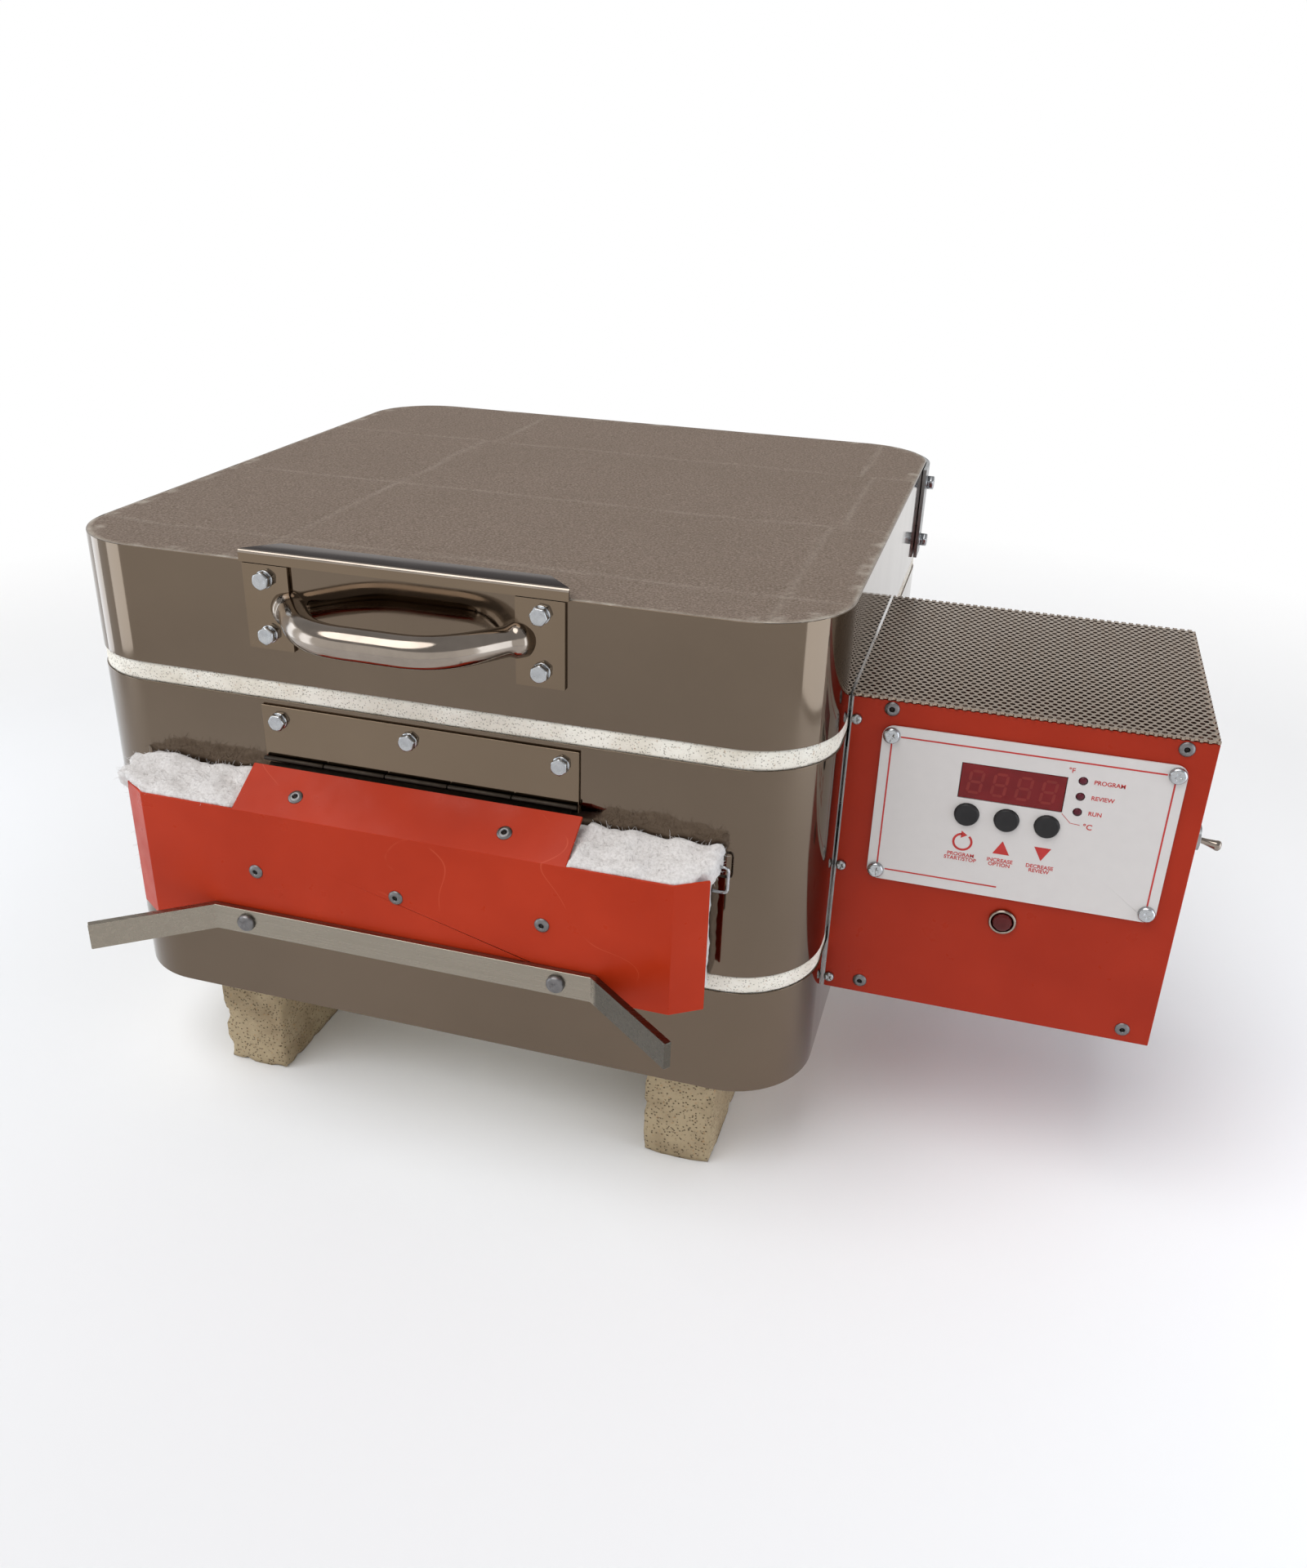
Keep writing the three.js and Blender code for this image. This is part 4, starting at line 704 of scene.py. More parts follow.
def lid_wash():
    """The coated top: sandy relief, shallow joints and a worn rim."""
    half = HALF - 0.1
    radius = CORNER - 0.1
    count = 150
    verts, wear = [], []
    for j in range(count + 1):
        for i in range(count + 1):
            u, v = 2 * i / count - 1, 2 * j / count - 1
            reach = max(abs(u), abs(v))
            scale = corner_scale(u, v, reach, half, radius)
            x, y = u * scale * half, v * scale * half
            rim = (1 - reach) * half
            ragged = fbm((x, y, 3), 7)
            seam = lid_seam(x, y)
            height = 0.25 * ragged - 0.35 * seam - 0.3 * max(0.0, 1 - rim / 2.5) * (1 + 0.6 * ragged)
            chip = max(0.0, fbm((x, y, 20), 9) - 0.15) if rim < 5 else 0.0
            patchy = 0.55 + 0.45 * fbm((x, y, 31), 30)
            worn = 0.22 * seam * patchy + 0.7 * chip + (0.35 + 0.5 * max(0.0, ragged)) * max(0.0, 1 - rim / 1.8)
            verts.append(at(x, y, LID_TOP + 0.2 + height))
            wear.append(max(0.0, min(1.0, worn)))
    row = count + 1
    faces = [
        [j * row + i, j * row + i + 1, (j + 1) * row + i + 1, (j + 1) * row + i]
        for j in range(count)
        for i in range(count)
    ]
    obj = piece("lid_wash", verts, faces, "wash", "lid", "coated_brick")
    attribute = obj.data.attributes.new("wear", "FLOAT", "POINT")
    attribute.data.foreach_set("value", wear)
    thicken(obj, 0.9).modifiers[-1].use_even_offset = False


def corner_scale(u, v, reach, half, radius):
    """How far a point of the unit square moves in, so that the square's outline takes round corners."""
    if reach < 1e-6:
        return 1.0
    bx, by = abs(u) / reach * half, abs(v) / reach * half
    inner = half - radius
    if min(bx, by) <= inner:
        return 1.0
    a = bx * bx + by * by
    b = -2 * inner * (bx + by)
    c = 2 * inner * inner - radius * radius
    return (-b + math.sqrt(b * b - 4 * a * c)) / (2 * a)


def lid_seam(x, y):
    """How deep a point lies in a joint between the lid's bricks, 0 to 1."""
    across = [1 - abs(x - s - 2.0 * fbm((s, y, 9), 45)) / 2.2 for s in seam_xs(y)]
    along = [1 - abs(y - s - 2.5 * fbm((x, s, 5), 50)) / 2.2 for s in SEAMS_Y]
    return max(0.0, *across, *along)


def seam_xs(y):
    """The cross joints of the lid's brick rows, which don't quite line up between rows."""
    if y > SEAMS_Y[2]:
        return -72.0, 147.0
    return (-79.0, 154.0) if y > SEAMS_Y[1] else (-80.0, 149.0)


def build_lid_brick():
    low, high = local("lid_slab")
    rough_prism(
        "lid_brick", low.z, LID_TOP - 1.6, HALF - SHEET - GAP, CORNER - SHEET - GAP, "brick", "lid",
        "coated_brick", ["lid_slab"], 0.5, (low.z - 1, local("lid_band")[0].z),
    )
    lid_wash()


def build_floor_brick():
    low, high = local("floor_slab")
    rough_prism(
        "floor_brick", low.z, high.z, HALF - SHEET - GAP, CORNER - SHEET - GAP, "brick", "kiln",
        "firebrick", ["floor_slab"], 0.5, (local("floor_band")[1].z, RING_BOTTOM + 1),
    )


def rough_block(name, low, high, material, body, replaces, step=3.0, wear=1.0, seed=0):
    """A sawn brick with chipped edges and corners."""
    bm = bmesh.new()
    verts, faces = slab(low, high)
    made = [bm.verts.new(v) for v in verts]
    for face in faces:
        bm.faces.new([made[i] for i in face])
    longest = max(b - a for a, b in zip(low, high))
    for axis in range(3):
        cuts = int((high[axis] - low[axis]) / step)
        for k in range(1, cuts):
            place = [0, 0, 0]
            place[axis] = low[axis] + (high[axis] - low[axis]) * k / cuts
            normal = [0, 0, 0]
            normal[axis] = 1
            bmesh.ops.bisect_plane(
                bm, geom=bm.verts[:] + bm.edges[:] + bm.faces[:], plane_co=at(*place), plane_no=normal
            )
    low_v, high_v = Vector(low), Vector(high)
    for vert in bm.verts:
        p = vert.co / MM - Vector((AXIS_X, AXIS_Y, 0))
        depths = sorted(min(p[i] - low_v[i], high_v[i] - p[i]) for i in range(3))
        edge = max(0.0, 1 - depths[1] / 3.5)
        corner = edge * max(0.0, 1 - depths[2] / 9)
        chip = max(0.0, fbm(p + Vector((seed, 0, 0)), 12) - 0.08)
        loss = wear * (0.3 * abs(fbm(p, 3)) + edge * (0.25 + 6.0 * chip) + corner * 1.4)
        inward = Vector([
            max(-1.0, min(1.0, (low_v[i] + high_v[i] - 2 * p[i]) / max(1e-6, high_v[i] - low_v[i]))) ** 9
            for i in range(3)
        ])
        if inward.length > 1e-9:
            vert.co += inward.normalized() * loss * MM
    mesh = bpy.data.meshes.new(name)
    bm.to_mesh(mesh)
    bm.free()
    return dress(mesh, name, material, body, replaces)


def build_feet():
    for k, name in enumerate(("foot_front_left", "foot_front_right", "foot_rear_left", "foot_rear_right")):
        low, high = local(name)
        rough_block(name + "_brick", low, high, "foot", "kiln", [name], 2.4, 0.9, 40 * k)


# ---------------------------------------------------------------- heating coil
def coil_route():
    """Centre line of the element: lower level, riser on the left, upper level, and a tail at each end."""
    low, high = local("heating_element")
    coil = 8.0
    bottom, top = low.z + coil / 2, high.z - coil / 2
    outer = -low.x - coil / 2
    bend = 24.0
    front = low.y + coil / 2
    tail_y = (local("terminal_block")[0].y + local("terminal_block")[1].y) / 2
    corner_steps = 10

    def level(z):
        points = [(outer, tail_y, z), (outer, outer - bend, z)]
        for cx, start in ((outer - bend, 0.0), (-outer + bend, math.pi / 2)):
            for i in range(corner_steps + 1):
                a = start + i * math.pi / 2 / corner_steps
                points.append((cx + bend * math.cos(a), outer - bend + bend * math.sin(a), z))
        points.append((-outer, front, z))
        return points

    return level(bottom) + level(top)[::-1]


def resampled(points, step):
    """Evenly spaced points along a broken line."""
    vectors = [Vector(p) for p in points]
    out, carry = [vectors[0]], 0.0
    for a, b in zip(vectors, vectors[1:]):
        length = (b - a).length
        place = step - carry
        while place <= length:
            out.append(a.lerp(b, place / length))
            place += step
        carry = (carry + length) % step
    return out


def build_coil():
    pitch, steps_round = 4.2, 10
    line = resampled(coil_route(), pitch / steps_round)
    path = []
    for i, point in enumerate(line):
        after = line[min(i + 1, len(line) - 1)]
        before = line[max(i - 1, 0)]
        u, v, _ = frame_of(after - before)
        a = 2 * math.pi * i / steps_round
        ring = point + (u * math.cos(a) + v * math.sin(a)) * 3.3
        path.append(at(*ring))
    verts, faces = tube(path, 0.65, 5)
    block_low, _ = local("terminal_block")
    tail_y = coil_route()[0][1]
    tails = []
    for z in (coil_route()[0][2], coil_route()[-1][2]):
        x0 = coil_route()[0][0]
        tails.append(tube([at(x, tail_y, z) for x in (x0 - 3, x0 + 8, x0 + 30, block_low.x + 13.5)], 2.4, 14))
    piece("heating_coil", *merged((verts, faces), *tails), "wire", "kiln", "element_wire", ["heating_element"])


# ---------------------------------------------------------------- lid furniture
LID_FITTINGS_X = -6.0


def build_handle():
    low, high = local("lid_handle")
    foot_y = high.y
    grip_y = low.y + 7
    z = (low.z + high.z) / 2
    foot, grip = 51.0, 12.0

    def leg(side):
        return [
            Vector((side * foot, foot_y)),
            Vector((side * (foot - 11), foot_y - 12)),
            Vector((side * (grip + 22), grip_y)),
            Vector((side * grip, grip_y)),
        ]

    def bezier(points, t):
        a, b, c, d = points
        s = 1 - t
        return a * s**3 + b * 3 * s * s * t + c * 3 * s * t * t + d * t**3

    steps = 34
    left = [bezier(leg(-1), i / steps) for i in range(steps + 1)]
    right = [bezier(leg(1), 1 - i / steps) for i in range(steps + 1)]
    middle = [left[-1].lerp(right[0], i / 12) for i in range(1, 12)]
    behind = [Vector((side * (foot + 3.2), foot_y + 3.5)) for side in (-1, 1)]
    line = [behind[0], *left, *middle, *right, behind[1]]
    path = [at(LID_FITTINGS_X + p.x, p.y, z) for p in line]
    radii = []
    for p in line:
        from_foot = foot_y - p.y
        flare = 1.3 * min(1.0, max(0.0, 1 - from_foot / 3.2)) ** 2
        swell = 0.6 * min(1.0, max(0.0, from_foot) / 20)
        radii.append(6.35 + swell + flare)
    piece("bow_handle", *tube(path, radii, 40), "chrome", "lid", "chrome", ["lid_handle"])


def build_guard():
    """The folded guard over the handle: an upright lip, a fold in bright chrome as a painted highlight and a mitred
    flange in dark steel as a painted reflection.
    """
    low, high = local("lid_guard")
    front, back, bottom, top = low.y, high.y, low.z, high.z
    sheet, bend = 1.2, 1.5

    def fold(radius):
        return [
            (front + bend - radius * math.cos(a), top - bend + radius * math.sin(a))
            for a in np.linspace(0, math.pi / 2, 6)
        ]

    section = [(front, bottom), *fold(bend), (back, top), (back, top - sheet)]
    section += [*fold(bend - sheet)[::-1], (front + sheet, bottom)]
    verts = []
    for side, edge in ((1, low.x), (-1, high.x)):
        verts += [at(edge + side * max(0.0, y - front - sheet), y, z) for y, z in section]
    count = len(section)
    faces = [[i, (i + 1) % count, count + (i + 1) % count, count + i] for i in range(count)]
    faces += [list(range(count))[::-1], list(range(count, 2 * count))]
    obj = piece("handle_guard", verts, faces, "plate", "lid", "polished_steel", ["lid_guard"])
    obj.data.materials.append(MATERIAL["chrome"])
    obj.data.materials.append(MATERIAL["guard"])
    # Faces 1 to 5 are the outer fold, in chrome as a painted highlight; faces 6 and 7 are the flange's top and back
    # edge, in the dark guard steel as a painted reflection.
    for index, polygon in enumerate(obj.data.polygons):
        if 1 <= index <= 5:
            polygon.material_index = 1
        elif 6 <= index <= 7:
            polygon.material_index = 2
    obj.modifiers.new("edges", "EDGE_SPLIT").split_angle = math.radians(30)


PIN_LOW, PIN_HIGH = local("door_hinge_pin")
HINGE_AXIS = ((PIN_LOW.y + PIN_HIGH.y) / 2, (PIN_LOW.z + PIN_HIGH.z) / 2)
BARREL = 1.05


def hinge_barrels(parity):
    """Every other knuckle of the door's hinge."""
    low, high = local("door_hinge_plate")
    pitch = (high.x - low.x) / 5
    parts = []
    for k in range(parity, 5, 2):
        x = low.x + k * pitch
        profile = [(0, 0), (BARREL - 0.3, 0), (BARREL, 0.3), (BARREL, pitch - 0.7), (BARREL - 0.3, pitch - 0.4), (0, pitch - 0.4)]
        parts.append(lathe(profile, at(x + 0.2, *HINGE_AXIS), (1, 0, 0), 20))
    return merged(*parts)


def build_door_hinge():
    low, high = local("door_hinge_plate")
    plate = slab((low.x, high.y - 1.2, low.z - 0.4), (high.x, high.y, high.z))
    made = piece("hinge_plate", *plate, "plate", "kiln", "polished_steel", ["door_hinge_plate"], False)
    soften(made, 0.3)
    # The barrels and the leaf are zinc, drawn in the dark hinge steel as painted shade.
    piece("hinge_barrels", *hinge_barrels(0), "dark_steel", "kiln", "zinc", ["door_hinge_pin"])
    fold = Vector((0, local("door_panel")[0].y, local("door_panel")[0].z + 64.2))
    along = (Vector((0, *HINGE_AXIS)) - fold)
    length = along.length
    along.normalize()
    out = Vector((0, -along.z, along.y))
    corners = []
    for x in (low.x + 3, high.x - 3):
        for reach, depth in ((length - 24, -1.6), (length - BARREL * 0.5, -1.6), (length - BARREL * 0.5, -2.7), (length - 24, -2.7)):
            p = fold + along * reach + out * depth
            corners.append(at(x, p.y, p.z))
    faces = [[0, 1, 2, 3], [7, 6, 5, 4]] + [[i, i + 4, (i + 1) % 4 + 4, (i + 1) % 4] for i in range(4)]
    leaf = merged((corners, faces), hinge_barrels(1))
    piece("hinge_leaf", *leaf, "dark_steel", "door", "zinc", ["door_hinge_leaf"])


def build_lid_bolts():
    for side in ("left", "right"):
        for level in ("upper", "lower"):
            name = f"handle_bolt_{level}_{side}"
            low, high = local(name)
            x, z = (low.x + high.x) / 2, (low.z + high.z) / 2
            seat = local(f"handle_plate_{side}")[0].y
            head = bolt(at(x, seat, z), (0, -1, 0), 7, seat - low.y, rng.uniform(0, 1))
            shank = lathe([(0, -9), (1.9, -9), (1.9, 0.3), (0, 0.3)], at(x, seat, z), (0, -1, 0), 16)
            piece(name + "_hex", *merged(head, shank), "bright_zinc", "lid", "zinc", [name])
    for side in (-1, 1):
        low, high = local("lid_strap_right")
        x = high.x
        heads = [
            bolt(at(side * x, y, z), (side, 0, 0), 7, 4.2, rng.uniform(0, 1))
            for y, z in ((131, LID_TOP - 10), (131, LID_TOP - 44))
        ]
        nuts = [
            bolt(at(sx, HALF + 2.3, z), (0, 1, 0), 7, 4.2, rng.uniform(0, 1))
            for sx, z in ((side * 126, LID_TOP - 10), (side * 126, LID_TOP - 44))
        ]
        piece(f"strap_bolts_{'left' if side < 0 else 'right'}", *merged(*heads, *nuts), "bright_zinc", "lid", "zinc")


def build_hinge_screws():
    """Screws through the lid hinge's leaves."""
    for leaf, body in (("lid_hinge_lower_leaf", "kiln"), ("lid_hinge_upper_leaf", "lid")):
        low, high = local(leaf)
        upper = leaf == "lid_hinge_upper_leaf"
        z = high.z - 9 if upper else low.z + 9
        face = HALF + GAP + 1.5
        heads = [pan_screw(at(x, face, z), (0, 1, 0), 4, 2.2, 0.4 + x) for x in (-92, -31, 31, 92)]
        piece(leaf + "_screws", *merged(*heads), "zinc", body, "zinc")
    low, high = local("door_hinge_plate")
    face = high.y - 1.2
    heads = [
        bolt(at(x, face, LID_TOP - 72.9), (0, -1, 0), 6.9, 3.3, 0.3 * k)
        for k, x in enumerate((-68.9, -5.4, 65.1))
    ]
    piece("hinge_plate_bolts", *merged(*heads), "bright_zinc", "kiln", "zinc")


# ---------------------------------------------------------------- flip door
def build_door_fasteners():
    front = local("door_panel")[0].y
    z = LID_TOP - 136.8
    spots = [(at(x, front, z), Vector((0, -1, 0))) for x in (-71.8, -2.5, 66.0)]
    fold = Vector((0, front, local("door_panel")[0].z + 64.2))
    axis = Vector((0, *HINGE_AXIS))
    along = (axis - fold).normalized()
    out = Vector((0, -along.z, along.y))
    for x in (-53.6, 45.8):
        p = fold + along * ((LID_TOP - 100.5) - fold.z) / along.z
        spots.append((at(x, p.y, p.z), out))
    piece("door_rivets", *merged(*[rivet(p, d, 3.4) for p, d in spots]), "rivet", "door")
    piece("door_rivet_stems", *merged(*[rivet_stem(p, d, 3.4) for p, d in spots]), "mandrel", "door")
    for side in ("left", "right"):
        name = f"bar_screw_{side}"
        low, high = local(name)
        x, z = (low.x + high.x) / 2, (low.z + high.z) / 2
        seat = front - GAP - 3.2
        head = pan_screw(at(x, seat, z), (0, -1, 0), 4.2, 2.6, 0.6)
        shank = lathe([(0, -9), (1.9, -9), (1.9, 0.1), (0, 0.1)], at(x, seat, z), (0, -1, 0), 16)
        piece(name + "_head", *merged(head, shank), "rivet", "door", "zinc", [name])


def build_fibre():
    """The door's lining: a torn slab of blanket that stands proud at the top corners and the ends."""
    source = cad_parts["door_fibre"]
    mesh = source.data.copy()
    obj = dress(mesh, "door_blanket", "fibre", "door", ["door_fibre"])
    remesh = obj.modifiers.new("voxels", "REMESH")
    remesh.mode = "VOXEL"
    remesh.voxel_size = 1.7 * MM
    graph = bpy.context.evaluated_depsgraph_get()
    solid = bpy.data.meshes.new_from_object(obj.evaluated_get(graph))
    obj.modifiers.clear()
    obj.data = solid
    solid.materials.clear()
    solid.materials.append(MATERIAL["fibre"])
    low, high = local("door_fibre")
    tab_low, tab_high = -2 - 79.5, -2 + 79.5
    shift = Vector((AXIS_X, AXIS_Y, 0))
    normals = [v.normal.copy() for v in solid.vertices]
    for vert, normal in zip(solid.vertices, normals):
        p = vert.co / MM - shift
        open_top = p.z > high.z - 12 and not tab_low < p.x < tab_high
        end = max(0.0, (abs(p.x + 2) - 133) / 6)
        lumps = fbm(p, 13, 2)
        fluff = fbm(p + Vector((9, 0, 0)), 3.5, 3)
        move = Vector((0, 0, 0))
        if open_top and normal.z > 0.2:
            move += normal * (2.4 * lumps + 0.7 * fluff + 0.9)
        if end > 0:
            covered = p.y < high.y - 17.5
            start = high.z - (7 if covered else 14)
            upper = max(0.0, min(1.0, (p.z - start) / 5))
            ragged = (2.0 * lumps + 1.0 * fluff) * (0.3 + 0.7 * upper)
            side = math.copysign(1, p.x)
            reach = -1.5 + 3.2 * upper if side < 0 else -5.2 + 3.6 * upper
            if covered and not upper:
                reach, ragged = min(reach, -1.0), 0.0
            move.x += side * min(1.0, end) * (reach + ragged)
            if side < 0:
                move.y -= 3.0 * min(1.0, end) * upper
            move += normal * 0.4 * fluff
        if normal.y < -0.5 and not end and p.z > high.z - 14:
            move.y += -0.5 + 0.4 * fluff
        if normal.z < -0.5:
            move.z += 0.6 * fluff
        vert.co += move * MM
        vert.co.y = min(vert.co.y, (high.y + AXIS_Y - 0.1) * MM)
    for polygon in solid.polygons:
        polygon.use_smooth = True
    return obj


def fibre_strands(blanket):
    """Loose fibres that stand off the blanket's open faces."""
    low, high = local("door_fibre")
    shift = Vector((AXIS_X, AXIS_Y, 0))
    spots = []
    for polygon in blanket.data.polygons:
        p = polygon.center / MM - shift
        top = p.z > high.z - 8 and not -81 < p.x < 77 and polygon.normal.z > 0.3
        end = abs(p.x + 2) > 139 and abs(polygon.normal.x) > 0.5
        if top or end:
            spots.append((polygon.center.copy(), polygon.normal.copy()))
    parts = []
    for centre, normal in rng.sample(spots, min(1500, len(spots))):
        lean = Vector((rng.uniform(-1, 1), rng.uniform(-1, 1), rng.uniform(-0.6, 0.9)))
        heading = (normal * 0.5 + lean).normalized()
        curl = Vector((rng.uniform(-1, 1), rng.uniform(-1, 1), rng.uniform(-1, 1)))
        length = rng.uniform(1.5, 5.0)
        path = [centre - normal * 0.6 * MM]
        for k in range(3):
            path.append(path[-1] + heading * length / 3 * MM)
            heading = (heading + curl * 0.35).normalized()
        parts.append(tube(path, [0.09, 0.08, 0.06, 0.03], 3))
    piece("blanket_strands", *merged(*parts), "fibre", "door", "ceramic_fibre")


def build_wire_clip():
    """The wire staple that pins the blanket's right end."""
    low, high = local("door_fibre")
    y = high.y - 6
    x0, x1 = high.x - 4, high.x + 2.5
    z0, z1 = LID_TOP - 118, LID_TOP - 106
    points = [(x0, y, z1), (x1 - 1.5, y, z1), (x1 - 0.4, y, z1 - 0.5), (x1, y, z1 - 1.8)]
    points += [(x1, y, z0 + 1.8), (x1 - 0.4, y, z0 + 0.5), (x1 - 1.5, y, z0), (x0, y, z0)]
    piece("blanket_staple", *tube([at(*p) for p in points], 0.7, 10), "bright_zinc", "door", "zinc")


# ---------------------------------------------------------------- control box
def build_perforated_cover():
    """The cover's sheet, with its staggered holes cut through at the edges as the real one's are."""
    pitch, hole, spokes = 3.5, 1.18, 12
    row = pitch * math.sqrt(3) / 2
    x0, x1 = COVER_LOW.x, COVER_HIGH.x
    y0, y1 = COVER_LOW.y - 0.9, COVER_HIGH.y
    z = COVER_HIGH.z
    verts, faces, index = [], [], {}

    def vertex(x, y):
        key = (round(x, 3), round(y, 3))
        if key not in index:
            index[key] = len(verts)
            verts.append(at(x, y, z))
        return index[key]

    corner = pitch / math.sqrt(3)
    rows = int((y1 - y0) / row) + 3
    columns = int((x1 - x0) / pitch) + 3
    for j in range(-1, rows):
        for i in range(-1, columns):
            cx = x0 + i * pitch + (pitch / 2 if j % 2 else 0)
            cy = y0 + j * row
            inner, outer = [], []
            for k in range(spokes):
                a = 2 * math.pi * k / spokes + math.pi / 6
                reach = corner if k % 2 == 0 else pitch / 2
                inner.append(vertex(cx + hole * math.cos(a), cy + hole * math.sin(a)))
                outer.append(vertex(cx + reach * math.cos(a), cy + reach * math.sin(a)))
            for k in range(spokes):
                m = (k + 1) % spokes
                faces.append([inner[k], outer[k], outer[m], inner[m]])
    mesh = bpy.data.meshes.new("perforated_cover")
    mesh.from_pydata([tuple(v) for v in verts], [], faces)
    bm = bmesh.new()
    bm.from_mesh(mesh)
    for place, normal in (
        (at(x0, 0, z), (-1, 0, 0)),
        (at(x1, 0, z), (1, 0, 0)),
        (at(0, y0, z), (0, -1, 0)),
        (at(0, y1, z), (0, 1, 0)),
    ):
        geometry = bm.verts[:] + bm.edges[:] + bm.faces[:]
        bmesh.ops.bisect_plane(bm, geom=geometry, plane_co=place, plane_no=normal, clear_outer=True)
    bm.to_mesh(mesh)
    bm.free()
    obj = dress(mesh, "perforated_cover", "perforated", "kiln", ["top_cover"], False)
    if obj.data.polygons[0].normal.z < 0:
        obj.data.flip_normals()
    thicken(obj, 0.9)


def build_box_fasteners():
    front = BOX_FRONT
    spots = [
        at(BOX_X + sx * 60, front, z) for sx in (-1, 1) for z in (LID_TOP - 50.3, LID_TOP - 190.8)
    ]
    piece("panel_rivets", *merged(*[rivet(p, (0, -1, 0), 3.3) for p in spots]), "rivet", "kiln")
    piece("panel_rivet_stems", *merged(*[rivet_stem(p, (0, -1, 0), 3.3) for p in spots]), "mandrel", "kiln")
    heads = [
        pan_screw(at(BOX_X + sx * 58.8, FACE_Y, FACE_Z + sz * 33.4), (0, -1, 0), 3.7, 2.1, 0.5 * sx + sz)
        for sx in (-1, 1)
        for sz in (-1, 1)
    ]
    piece("face_screws", *merged(*heads), "bright_zinc", "kiln", "zinc")
    edge = local("front_panel")[0].x
    heads = [
        pan_screw(at(edge + 2.6, front, z), (0, -1, 0), 2.4, 1.9, 0.4 * k)
        for k, z in enumerate((LID_TOP - 57, LID_TOP - 130, LID_TOP - 191.6))
    ]
    piece("box_edge_screws", *merged(*heads), "zinc", "kiln", "zinc")
    trim = slab((edge - 0.12, front - 0.12, BOX_LOW.z), (edge + 0.55, front + 0.9, BOX_HIGH.z))
    piece("box_edge_trim", *trim, "zinc", "kiln", "zinc", smooth=False)
    bracket = slab((BOX_LOW.x - 1.2, front + 1.5, BOX_LOW.z), (BOX_LOW.x - 0.2, front + 130, BOX_HIGH.z))
    soften(piece("box_bracket", *bracket, "plate", "kiln", "polished_steel", smooth=False), 0.2)
    back = COVER_HIGH.y
    heads = [
        pan_screw(at(BOX_X + sx * 62, back, z), (0, 1, 0), 3.2, 1.8, sx)
        for sx in (-1, 1)
        for z in (BOX_LOW.z + 12, BOX_HIGH.z - 12)
    ]
    piece("back_panel_screws", *merged(*heads), "zinc", "kiln", "zinc")


def build_controls():
    for name in ("button_start", "button_increase", "button_decrease"):
        low, high = local(name)
        x, z = (low.x + high.x) / 2, (low.z + high.z) / 2
        top = -low.y + BOX_FRONT
        profile = [
            (0, -(high.y - BOX_FRONT)),
            (6.4, -(high.y - BOX_FRONT)),
            (6.4, -0.05),
            (5.2, 0),
            (5.2, top - 0.5),
            (5.05, top - 0.2),
            (4.7, top),
            (4.2, top - 0.04),
            (3.0, top - 0.3),
            (1.4, top - 0.42),
            (0, top - 0.45),
        ]
        verts, faces = lathe(profile, at(x, BOX_FRONT, z), (0, -1, 0), 48)
        piece(name + "_cap", verts, faces, "black", name, "black_plastic", [name])
    for name in ("led_program", "led_review", "led_run"):
        low, high = local(name)
        x, z = (low.x + high.x) / 2, (low.z + high.z) / 2
        top = BOX_FRONT - low.y
        back = BOX_FRONT - high.y
        profile = [(0, back), (1.7, back), (1.7, top - 1), (1.55, top - 0.55), (1.2, top - 0.2), (0.6, top - 0.03), (0, top)]
        piece(name + "_dome", *lathe(profile, at(x, BOX_FRONT, z), (0, -1, 0), 24), "led", "kiln", "dark_red_lens", [name])


def build_lamp():
    low, high = local("lamp_bezel")
    x, z = (low.x + high.x) / 2, (low.z + high.z) / 2
    origin = at(x, BOX_FRONT, z)
    rim = BOX_FRONT - low.y
    barrel = BOX_FRONT - high.y
    profile = [
        (0, barrel),
        (5.2, barrel),
        (5.2, 0.3),
        (6.2, 0.3),
        (6.2, rim - 0.9),
        (6.0, rim - 0.35),
        (5.6, rim),
        (5.1, rim - 0.1),
        (4.75, rim - 0.6),
        (4.7, -3),
        (0, -3),
    ]
    piece("lamp_ring", *lathe(profile, origin, (0, -1, 0), 48), "chrome", "kiln", "chrome", ["lamp_bezel"])
    crown = BOX_FRONT - local("lamp_lens")[0].y
    dome = [(0, -2.7), (4.4, -2.7), (4.4, rim - 0.3), (4.15, rim + 0.25)]
    dome += [(4.15 * math.cos(a), rim + 0.25 + (crown - rim - 0.25) * math.sin(a)) for a in (0.3, 0.6, 0.9, 1.2)]
    dome += [(0, crown)]
    piece("lamp_jewel", *lathe(dome, origin, (0, -1, 0), 12), "lamp", "kiln", "dark_red_lens", ["lamp_lens"], False)


def build_toggle():
    """The bat lever, turned about its own line, which leans down."""
    tilt = math.radians(12)
    low, high = local("toggle_body")
    z = (low.z + high.z) / 2
    y = (low.y + high.y) / 2
    pivot = at(high.x - 5, y, z)
    length = 15.2
    profile = [(0, -2.8)]
    profile += [(2.8 * math.cos(a), 2.8 * math.sin(a)) for a in (-1.2, -0.8, -0.4, 0, 0.4, 0.8)]
    profile += [(1.3, 2.8), (1.25, 5), (1.5, 8), (2.1, length - 3.2), (2.5, length - 1.9)]
    profile += [(2.4, length - 0.9), (1.8, length - 0.25), (0, length)]
    lean = (math.cos(tilt), 0, -math.sin(tilt))
    piece("toggle_bat", *lathe(profile, pivot, lean, 32), "chrome", "toggle", "chrome", ["toggle_lever"])


# ---------------------------------------------------------------- print on the face plate
PRINT = 0.06


def face_at(x, z, lift=PRINT):
    """A point on the face plate, from the box's middle and up from the plate's middle."""
    return at(BOX_X + x, FACE_Y - lift, FACE_Z + z)


